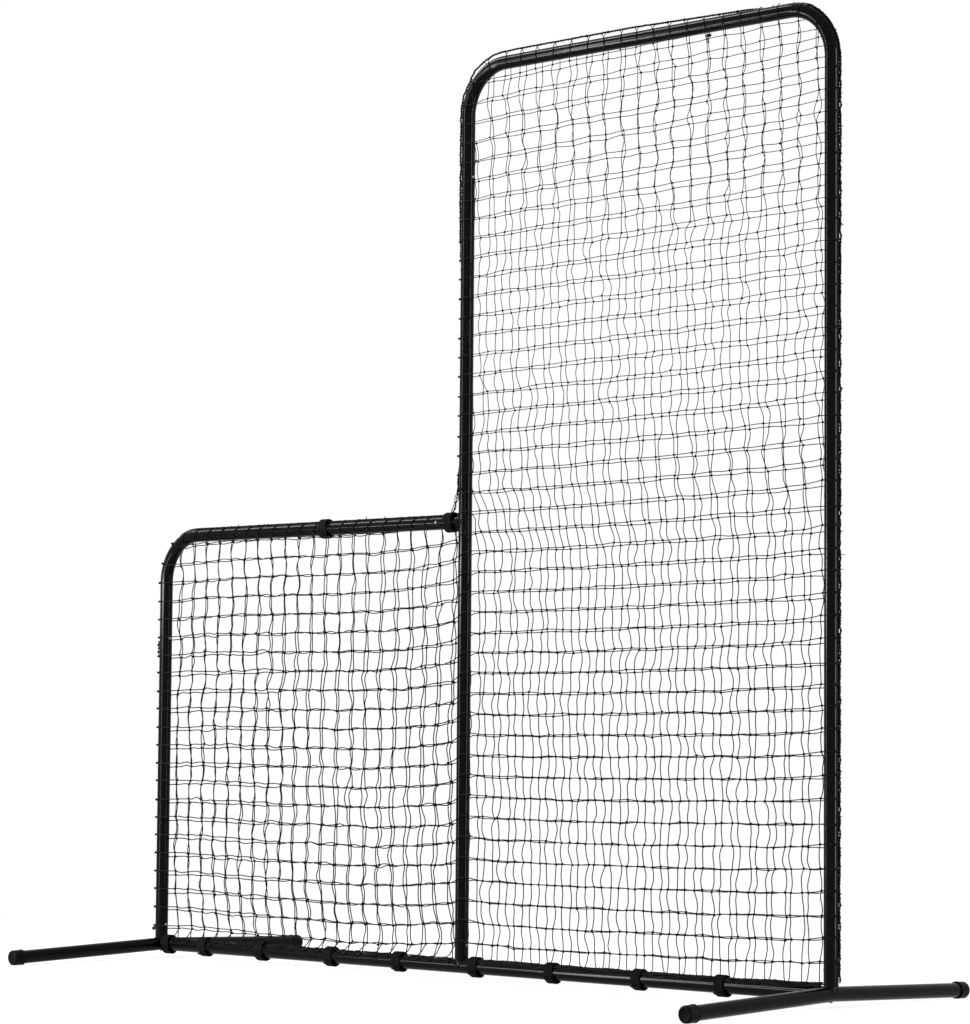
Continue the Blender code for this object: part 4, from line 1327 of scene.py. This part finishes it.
COURSE_STEP = 8 * MM
COURSE_BEND_STEPS = 24
RAGGED_FROM = 0.45
RIGHT_RAGGED = 0.8
BEND_RAGGED = 0.3
TOP_RAGGED = 0.12
INNER_BEND_RAGGED = 0.6
MID_POST_RAGGED = 0.5
SHOULDER_RAGGED = (0.35, 0.2)
SHOULDER_RAGGED_REACH = 0.42
LEFT_RAGGED = 0.4
RIGHT_LEAN = ((0, 27),)
OUTER_BEND_LEAN = ((0, 27), (0.4, 10), (1.0, -8), (1.3, 25))
TOP_LEAN = ((0.82, 2), (0.88, 32))
INNER_BEND_LEAN = ((1.7, 0), (2.6, -34))
MID_POST_LEAN = ((1.13, -38), (1.22, 8), (1.62, 8), (1.80, -34))
SHOULDER_LEAN = -12
NO_LEAN = ((0, 0),)
TIE_REACH = 30 * MM


def leaned(outward, degrees):
    """An outward direction turned round the tube, towards the rear when positive."""
    turn = math.radians(degrees)
    return outward * math.cos(turn) + ALONG_Y * math.sin(turn)


def along_post(x, outward, heights, leans, ragged):
    return [(Vector((x, 0, z)), leaned(outward, part_way(z, leans)), ragged) for z in heights]


def round_bend(x, z, start, leans, ragged):
    """A quarter of the course round a bend's centre, from an angle in radians on."""
    course = []
    for turn in np.linspace(start, start + math.pi / 2, COURSE_BEND_STEPS):
        out = Vector((math.cos(turn), 0, math.sin(turn)))
        course.append((Vector((x, 0, z)) + out * BEND_R, leaned(out, part_way(turn, leans)), ragged))
    return course


def edge_course():
    """The strand's course: tube centre, outward direction, and how ragged the strand is there."""
    foot_z = RAIL_Z + NET_FOOT
    leave = SHOULDER_Z + ARM_REACH + CORD_OFFSET
    step = COURSE_STEP
    bend_z = TOP_Z - BEND_R
    low_z = SHOULDER_Z - BEND_R
    quarter = math.pi / 2
    upper = along_post(RIGHT_X, ALONG_X, np.arange(foot_z, bend_z, step), RIGHT_LEAN, RIGHT_RAGGED)
    upper += round_bend(RIGHT_X - BEND_R, bend_z, 0, OUTER_BEND_LEAN, BEND_RAGGED)
    for x in np.arange(RIGHT_X - BEND_R - step, MID_X + BEND_R, -step):
        upper.append((Vector((x, 0, TOP_Z)), leaned(ALONG_Z, part_way(x, TOP_LEAN)), TOP_RAGGED))
    upper += round_bend(MID_X + BEND_R, bend_z, quarter, INNER_BEND_LEAN, INNER_BEND_RAGGED)
    down = np.arange(bend_z - step, leave, -step)
    upper += along_post(MID_X, -ALONG_X, down, MID_POST_LEAN, MID_POST_RAGGED)
    lower = []
    for x in np.arange(MID_X - STRAP_BY_POST, LEFT_X + BEND_R, -step):
        ragged = SHOULDER_RAGGED[0 if x > MID_X - SHOULDER_RAGGED_REACH else 1]
        lower.append((Vector((x, 0, SHOULDER_Z)), leaned(ALONG_Z, SHOULDER_LEAN), ragged))
    lower += round_bend(LEFT_X + BEND_R, low_z, quarter, NO_LEAN, LEFT_RAGGED)
    lower += along_post(LEFT_X, -ALONG_X, np.arange(low_z - step, foot_z, -step), NO_LEAN, LEFT_RAGGED)
    return upper, lower


def lay_edge(course, ends, rng):
    """The strand's path, drawn in to each cord's end and bowed a little between, and its tied places."""
    places = np.array([centre for centre, _, _ in course])
    tied = set()
    for end in ends:
        gaps = np.linalg.norm(places - end, axis=1)
        if gaps.min() < TIE_REACH:
            tied.add(int(gaps.argmin()))
    marks = sorted(tied)
    path = []
    for i, (centre, outward, ragged) in enumerate(course):
        near = min((abs(i - mark) for mark in marks), default=3)
        bow = min(near, 3) / 3 * rng.uniform(0, 0.6 + 2.6 * ragged) * MM - 0.6 * MM
        sway = rng.normal(0, 0.25 + 0.8 * ragged) * MM
        path.append(np.array(centre + outward * (strand_offset(centre) + bow)) + np.array((0, sway, 0)))
    return path, marks


def twisted_pair(strands, path, radius, spread, pitch, up=(0, 1, 0)):
    """Two plies wound round each other along a path."""
    path = smooth_path(path, 4)
    steps = np.linalg.norm(np.diff(path, axis=0), axis=1)
    along = np.concatenate(([0], np.cumsum(steps)))
    ahead = np.gradient(path, axis=0)
    ahead /= np.linalg.norm(ahead, axis=1, keepdims=True)
    aside = np.cross(ahead, up)
    aside /= np.linalg.norm(aside, axis=1, keepdims=True)
    over = np.cross(aside, ahead)
    for ply in (0, math.pi):
        turn = (along / pitch * math.tau + ply)[:, None]
        strands.add(path + spread * (aside * np.cos(turn) + over * np.sin(turn)), radius, sides=6, up=up)


def lump(strands, point, size, rng):
    """A tied-off lump: two crossed turns round the strand."""
    turn = np.arange(9) * math.tau / 9
    for _ in range(2):
        spin = Matrix.Rotation(rng.uniform(0, 3), 3, "X") @ Matrix.Rotation(rng.uniform(0, 3), 3, "Z")
        loop = np.stack((np.cos(turn), np.sin(turn), 0.3 * np.sin(2 * turn)), 1) * size
        path = loop @ np.array(spin).T + point
        strands.add(path, size * 0.62, sides=5, closed=True, up=np.array(spin)[:, 2])


def tail(strands, point, heading, length, rng):
    """A cut end of twine that curls away from the edge."""
    steps = np.linspace(0, 1, 5)[:, None]
    course = np.array(heading) + rng.normal(0, 0.35, 3)
    curl = rng.normal(0, 0.5, 3)
    path = point + course * length * steps + curl * length * steps ** 2
    strands.add(path, TWINE_R, sides=4, up=(0.3, 0.5, 0.2))


DROP_SHARES = ((0.14, 0.80), (0.30, 0.55), (0.52, 0.28), (0.75, 0.08))
DROP_SLACKS = (0, 3, -3)
DROP_R = 1 * MM
PLY_R = 1.55 * MM
PLY_SPREAD = 1.1 * MM
PLY_PITCH = 15 * MM
ROUGH_R = 1.2 * MM
LUMP_SIZE = 1.6 * MM
BIG_LUMP_SIZE = 2.2 * MM
BIG_LUMP_SHARE = 0.25
BARE_BEND_SHARE = 0.6
TAIL_SHARE = 0.3
LEFT_POST_LUMPS = (
    (-1.086, -2, 0.071, 3.4),
    (-1.079, -3, 0.796, 3.0),
    (-1.081, -4, 0.789, 3.2),
    (-1.0795, -5, 0.781, 2.6),
    (-1.0805, -4, 0.772, 3.0),
    (-1.079, -3, 0.765, 2.2),
)


def notch_drop(strands, start, finish, rng):
    """Three slack cords across the notch's inner corner, from the middle post's edge to the shoulder's."""
    for slack in DROP_SLACKS:
        drop = [start]
        for share, above in DROP_SHARES:
            point = start + (finish - start) * share
            point[2] = finish[2] + (start[2] - finish[2]) * above
            drop.append(point + np.array((slack * 0.6, slack * 0.7, 0)) * MM + rng.normal(0, 1.2, 3) * MM)
        drop.append(finish)
        strands.add(smooth_path(drop, 5), DROP_R, sides=6, up=(0, 1, 0.1))
        if slack == 0:
            for point in drop[1:]:
                lump(strands, point, LUMP_SIZE, rng)


def lay_rough(strands, rough):
    strands.add(smooth_path(rough, 3), ROUGH_R, sides=5, up=(0, 1, 0.05))


def lace(strands, path, ties, course, rng):
    """The twisted pair along a path, the rough cord beside it, its tails, and a lump at each tie."""
    twisted_pair(strands, path, PLY_R, PLY_SPREAD, PLY_PITCH)
    rough = []
    for point, (_, outward, ragged) in zip(path, course):
        if ragged > RAGGED_FROM:
            rough.append(point + rng.normal(0, 1.2 * ragged, 3) * MM - np.array(outward) * 0.4 * MM)
        elif len(rough) > 3:
            lay_rough(strands, rough)
            rough = []
        if rng.random() < TAIL_SHARE * ragged:
            tail(strands, point, outward, rng.uniform(1.5, 3.5) * MM, rng)
    if len(rough) > 3:
        lay_rough(strands, rough)
    for tie in ties:
        _, outward, ragged = course[tie]
        bent = ragged == BEND_RAGGED
        if bent and rng.random() < BARE_BEND_SHARE:
            continue
        big = rng.random() < BIG_LUMP_SHARE and not bent
        place = path[tie] + np.array(outward) * (-0.3 if bent else 0.3) * MM
        lump(strands, place, BIG_LUMP_SIZE if big else LUMP_SIZE, rng)
        if rng.random() < TAIL_SHARE * ragged:
            tail(strands, path[tie], outward, rng.uniform(3, 5) * MM, rng)


def edge_strand(look, ends):
    """The strand that laces the net's edge from foot to foot, over the notch between."""
    rng = np.random.default_rng(5)
    strands = Strands(lay=LACING_LAY)
    upper, lower = edge_course()
    first, first_ties = lay_edge(upper, ends, rng)
    second, second_ties = lay_edge(lower, ends, rng)
    notch_drop(strands, first[-1], second[0], rng)
    lace(strands, first, first_ties, upper, rng)
    lace(strands, second, second_ties, lower, rng)
    for x, y, z, size in LEFT_POST_LUMPS:
        lump(strands, np.array((x, y * MM, z)), size * MM, rng)
    dress(strands.piece("net_edge_strand", look), "net", "net_edge_cord")


# The net's foot on the bottom rail

HEM_END_GAP = 19 * MM
HEM_STEP = 9 * MM
DENSE_FROM = 4
PRESS_REACH = (12 * MM, 40 * MM)
SWAY_LENGTH = 0.019
WAVE_LENGTH = 0.023
HEAPED_FROM = (0.78, 0.98)

# Each gathered strand's place across the rail and its height in the heap, in mm
LACED = ((-4, -0.2), (-1, 0))
GATHERED = (
    (-12, -0.2), (-9.5, 0), (-7, 0), (-4, 0), (-1, 0), (2, 0), (5, -0.2),
    (-6, 0.9), (-1, 1.2), (3, 0.8),
)
HEMS = (("left", LEFT_X, MID_X, LACED, 41), ("right", MID_X, RIGHT_X, GATHERED, 42))


def hem_bundle(side, look, start_x, end_x, courses, seed, straps):
    """Gathered edge strands on the rail. Straps press them down."""
    rng = np.random.default_rng(seed)
    strands = Strands(lay=LACING_LAY)
    dense = len(courses) > DENSE_FROM
    for across, height in courses:
        phase = rng.uniform(0, 6, 2)
        points = []
        for x in np.arange(start_x, end_x, HEM_STEP):
            gap = min(abs(x - strap) for strap in straps)
            free = 0.45 + 0.55 * ramp(gap, *PRESS_REACH)
            y = across * MM + math.sin(x / SWAY_LENGTH + phase[0]) * 1.4 * MM + rng.normal(0, 0.5 * MM)
            wave = math.sin(x / WAVE_LENGTH + phase[1]) * 0.6 + rng.normal(0, 0.35)
            heap = (height + 1.7) * (ramp(x, *HEAPED_FROM) if dense else 0)
            lift = 1.3 + (height + wave + heap) * free
            z = math.sqrt(TUBE_R ** 2 - y ** 2) + max(lift, 1.2) * MM
            points.append((x, y, RAIL_Z + z))
        strands.add(smooth_path(points, 3), (1.5 if dense else 1.1) * MM, sides=6, up=(0, 1, 0.1))
        if height < 0.5 and dense:
            continue
        for point in points:
            if rng.random() < (0.35 if dense else 0.12):
                lump(strands, np.array(point), rng.uniform(1.1, 1.6) * MM, rng)
            if rng.random() < (0.3 if dense else 0.03):
                heading = (rng.normal(0, 0.7), rng.normal(0, 0.5), 0.6)
                tail(strands, np.array(point), heading, rng.uniform(1.5, 3) * MM, rng)
    dress(strands.piece(f"net_foot_{side}", look), "net", f"net_hem_{side}")


TIE_OFF_PLACE = (0.734, -LAYER_Y - 1 * MM, 2.107)
TIE_OFF_LUMP_SIZE = 2.5 * MM
TIE_OFF_TAIL = 17 * MM
TIE_OFF_TAIL_R = 0.95 * MM


def hanging_tie(look):
    """The knotted tie-off that hangs under the top rail."""
    rng = np.random.default_rng(77)
    strands = Strands()
    place = np.array(TIE_OFF_PLACE)
    for across in (-3.4, 0.2, 3.6):
        lump(strands, place + np.array((across, 0, rng.normal(0, 0.6))) * MM, TIE_OFF_LUMP_SIZE, rng)
    steps = np.linspace(0, 1, 7)[:, None]
    for lean in (-1.2, 0.4, 1.3):
        fall = np.array((lean * MM, 0.3 * MM, -TIE_OFF_TAIL))
        swing = np.sin(steps * 5 + lean) * np.array((0.8, 0.5, 0)) * MM
        strands.add(place + fall * steps + swing, TIE_OFF_TAIL_R, sides=5)
    up = [place, place + np.array((1, 4, 14)) * MM, place + np.array((2, 3, 26)) * MM]
    strands.add(smooth_path(up, 4), TWINE_R)
    dress(strands.piece("net_tie_off", look), "net")


# Straps. Each starts and ends at a turn round its rail, in degrees. Edge shares are of a strap's half width.

STRAP_START = -70
STRAP_END = 335
STRAP_END_VARIES = (-14, 8)
STRAP_SKEW = (1.2, 2.8)
LAP_CLIMB = 90
TAIL_SHARES = (0.93, 1.0)
TAPE_RIPPLE = 0.25 * MM
TAPE_WANDER = 0.4 * MM
THIN_SHARE = 0.35
THIN_EDGE_SHARES = (0.92, 1.0)
PILE_RISE = 0.18 * MM
PILE_EDGE_SHARES = (0.72, 0.86)


def strap_piece(name, node, look, centre, seed):
    """A tape wrapped once round a rail, slack over the net on top, with its end lapped and lifted."""
    rng = random.Random(seed)
    start = math.radians(STRAP_START)
    end = math.radians(STRAP_END + rng.uniform(*STRAP_END_VARIES))
    lap = start + math.tau
    climb = math.radians(LAP_CLIMB)
    skew = rng.uniform(*STRAP_SKEW) * MM
    wave = rng.uniform(0, 6)
    half = STRAP_WIDTH / 2
    bm = bmesh.new()
    layer = bm.loops.layers.uv.new("tape")
    rows = []
    for i in range(STRAP_STEPS + 1):
        turn = start + (end - start) * i / STRAP_STEPS
        lift = STRAP_SLACK if math.sin(turn) > 0 else STRAP_SAG
        inner = TUBE_R + FIT_GAP + lift * math.sin(turn) ** 2
        inner += (STRAP_THICK + FIT_GAP) * ramp(turn, lap - climb, lap)
        inner += STRAP_TAIL * ramp(i / STRAP_STEPS, *TAIL_SHARES)
        inner += TAPE_RIPPLE * math.sin(turn * 5 + wave)
        radial = Vector((0, -math.cos(turn), math.sin(turn)))
        shift = -skew * math.sin(turn) + TAPE_WANDER * math.sin(turn * 3 + wave)
        row = []
        for outer in (False, True):
            for j in range(STRAP_COLUMNS + 1):
                across = -half + STRAP_WIDTH * j / STRAP_COLUMNS
                edge = abs(across) / half
                thin = THIN_SHARE * ramp(edge, *THIN_EDGE_SHARES)
                height = inner + STRAP_THICK * ((1 - thin) if outer else thin)
                height += PILE_RISE * ramp(edge, *PILE_EDGE_SHARES) if outer else 0
                row.append((ALONG_X * (across + shift) + radial * height, across, turn * TUBE_R))
        low = row[:STRAP_COLUMNS + 1]
        high = row[STRAP_COLUMNS + 1:]
        section = low + high[::-1]
        rows.append([(bm.verts.new(point), across, along) for point, across, along in section])
    count = len(rows[0])
    for near, far in zip(rows, rows[1:]):
        for i in range(count):
            j = (i + 1) % count
            corners = (near[i], near[j], far[j], far[i])
            face = bm.faces.new([corner[0] for corner in corners])
            for loop, corner in zip(face.loops, corners):
                loop[layer].uv = (corner[1] / MM, corner[2] / MM)
    for row in (rows[0], rows[-1]):
        bm.faces.new([corner[0] for corner in row])
    piece = add_object(name, bm, look, Matrix.Translation(centre))
    dress(piece, "strap", node)


def strap_places():
    rail = [LEFT_X + FIRST_STRAP]
    rail += [LEFT_X + POST_SPACING * share for share in RAIL_STRAP_SHARES]
    rail.append(RAIL_SEAM_X)
    rail.sort()
    places = [(f"strap_rail_{i + 1}", Vector((x, 0, RAIL_Z))) for i, x in enumerate(rail)]
    shoulder = (LEFT_X + (MID_X - LEFT_X) * SHOULDER_STRAP_SHARE, MID_X - STRAP_BY_POST)
    places += [(f"strap_shoulder_{i + 1}", Vector((x, 0, SHOULDER_Z))) for i, x in enumerate(shoulder)]
    return places


# Studio. Each lamp has its name, place, aim, width and height in metres, and watts.

FILL_LIGHT = 0.15
FLOOR_BOUNCE = 0.8
FLOOR_SEEN = 0.27
FLOOR_GLOW = 0.8
FLOOR_R = 60
FLOOR_SIDES = 96
FADE_START = 1.5
FADE_END = 2.9
LAMPS = (
    ("left strip", (-1.55, -2.2, 1.45), (0.2, 0, 1.45), (0.14, 3.1), 74),
    ("right bank", (2.95, 0.5, 1.25), (0, 0.5, 1.25), (0.5, 3.1), 105),
    ("overhead strip", (-2.4, -0.55, 4.0), (-2.4, -0.55, 0), (4.2, 0.34), 130),
    ("low strip", (-2.3, -3.0, 1.1), (-2.3, 0, 1.6), (2.2, 0.2), 95),
)


def lamp(name, place, aim, size, power):
    data = bpy.data.lights.new(name, "AREA")
    data.shape = "RECTANGLE"
    data.size, data.size_y = size
    data.energy = power
    item = bpy.data.objects.new(name, data)
    bpy.context.scene.collection.objects.link(item)
    ahead = (Vector(aim) - Vector(place)).normalized()
    item.matrix_world = Matrix.Translation(place) @ ahead.to_track_quat("-Z", "Y").to_matrix().to_4x4()
    item.visible_camera = False


def shown_rays(tree):
    """1 for the rays that should meet the white surround: seen straight, in gloss or through glass."""
    rays = tree.nodes.new("ShaderNodeLightPath")
    total = rays.outputs["Is Camera Ray"]
    for name in ("Is Glossy Ray", "Is Transmission Ray"):
        both = tree.nodes.new("ShaderNodeMath")
        both.operation = "MAXIMUM"
        tree.links.new(total, both.inputs[0])
        tree.links.new(rays.outputs[name], both.inputs[1])
        total = both.outputs["Value"]
    return total


def between(tree, fac, low, high):
    made = tree.nodes.new("ShaderNodeMapRange")
    made.inputs["To Min"].default_value = low
    made.inputs["To Max"].default_value = high
    tree.links.new(fac, made.inputs["Value"])
    return made.outputs["Result"]


def make_world():
    world = bpy.data.worlds.new("studio")
    bpy.context.scene.world = world
    world.use_nodes = True
    tree = world.node_tree
    background = tree.nodes["Background"]
    background.inputs["Color"].default_value = (1, 1, 1, 1)
    tree.links.new(between(tree, shown_rays(tree), FILL_LIGHT, 1.0), background.inputs["Strength"])


def make_floor():
    """A pale floor that takes the shadow near the object and runs out into the white surround."""
    bm = bmesh.new()
    bmesh.ops.create_circle(bm, cap_ends=True, segments=FLOOR_SIDES, radius=FLOOR_R)
    floor = add_object("floor", bm, None)
    look = Look("pale floor", (0.8, 0.8, 0.8), 0.9, specular=0.1)
    tree = look.tree
    shown = shown_rays(tree)
    tree.links.new(between(tree, shown, FLOOR_BOUNCE, FLOOR_SEEN), look.shader.inputs["Base Color"])
    glow = look.maths("MULTIPLY", shown, FLOOR_GLOW)
    look.put(look.shader, {"Emission Color": (1, 1, 1, 1), "Emission Strength": glow})
    far = look.node("ShaderNodeEmission", {"Strength": between(tree, shown, FILL_LIGHT, 1.0)})
    reach = look.node("ShaderNodeVectorMath", {"Vector": look.place()}, operation="LENGTH").outputs["Value"]
    fade = look.spread(reach, 0, 1, FADE_START, FADE_END)
    fade.node.interpolation_type = "SMOOTHERSTEP"
    mixed = look.node("ShaderNodeMixShader", {"Fac": fade})
    tree.links.new(look.shader.outputs["BSDF"], mixed.inputs[1])
    tree.links.new(far.outputs["Emission"], mixed.inputs[2])
    tree.links.new(mixed.outputs["Shader"], tree.nodes["Material Output"].inputs["Surface"])
    floor.data.materials.append(look.made)


def studio():
    """A white surround, a pale floor, and soft lamps whose strips edge the tubes."""
    make_world()
    make_floor()
    for values in LAMPS:
        lamp(*values)


make_camera()

powder = powder_coat()
moulded = moulded_plastic()
plated = plated_steel()
tape = webbing()
# Each twine's second colour is the painted lighter crown of its plies, set against painted shade in the
# grooves.
twine = twisted_twine("black twisted twine", (0.0015, 0.0015, 0.0015), (0.006, 0.006, 0.006))
lacing = twisted_twine("black lacing twine", (0.0015, 0.0015, 0.0018), (0.008, 0.008, 0.009))

tubes = frame_tubes(powder)
lock_joints(tubes, plated)
for node, tube in tubes.items():
    tube.name = f"{node}_tube"
    tube.data.shade_smooth()
    tube.data.set_sharp_from_angle(angle=SHARP_ANGLE)
    dress(tube, "frame_tube", node)
for node, cap in end_caps(moulded).items():
    cap.name = f"{node}_moulding"
    dress(cap, "end_cap", node)

weld_beads(powder)

cord_ends = net_pieces(twine)
edge_strand(lacing, cord_ends)
straps = strap_places()
rail_straps = [centre.x for name, centre in straps if name.startswith("strap_rail")]
for side, start_x, end_x, courses, seed in HEMS:
    hem_bundle(side, lacing, start_x + HEM_END_GAP, end_x - HEM_END_GAP, courses, seed, rail_straps)
hanging_tie(lacing)
for seed, (name, centre) in enumerate(straps):
    strap_piece(f"{name}_tape", name, tape, centre, seed)

studio()
bpy.context.scene.view_settings.view_transform = "Standard"
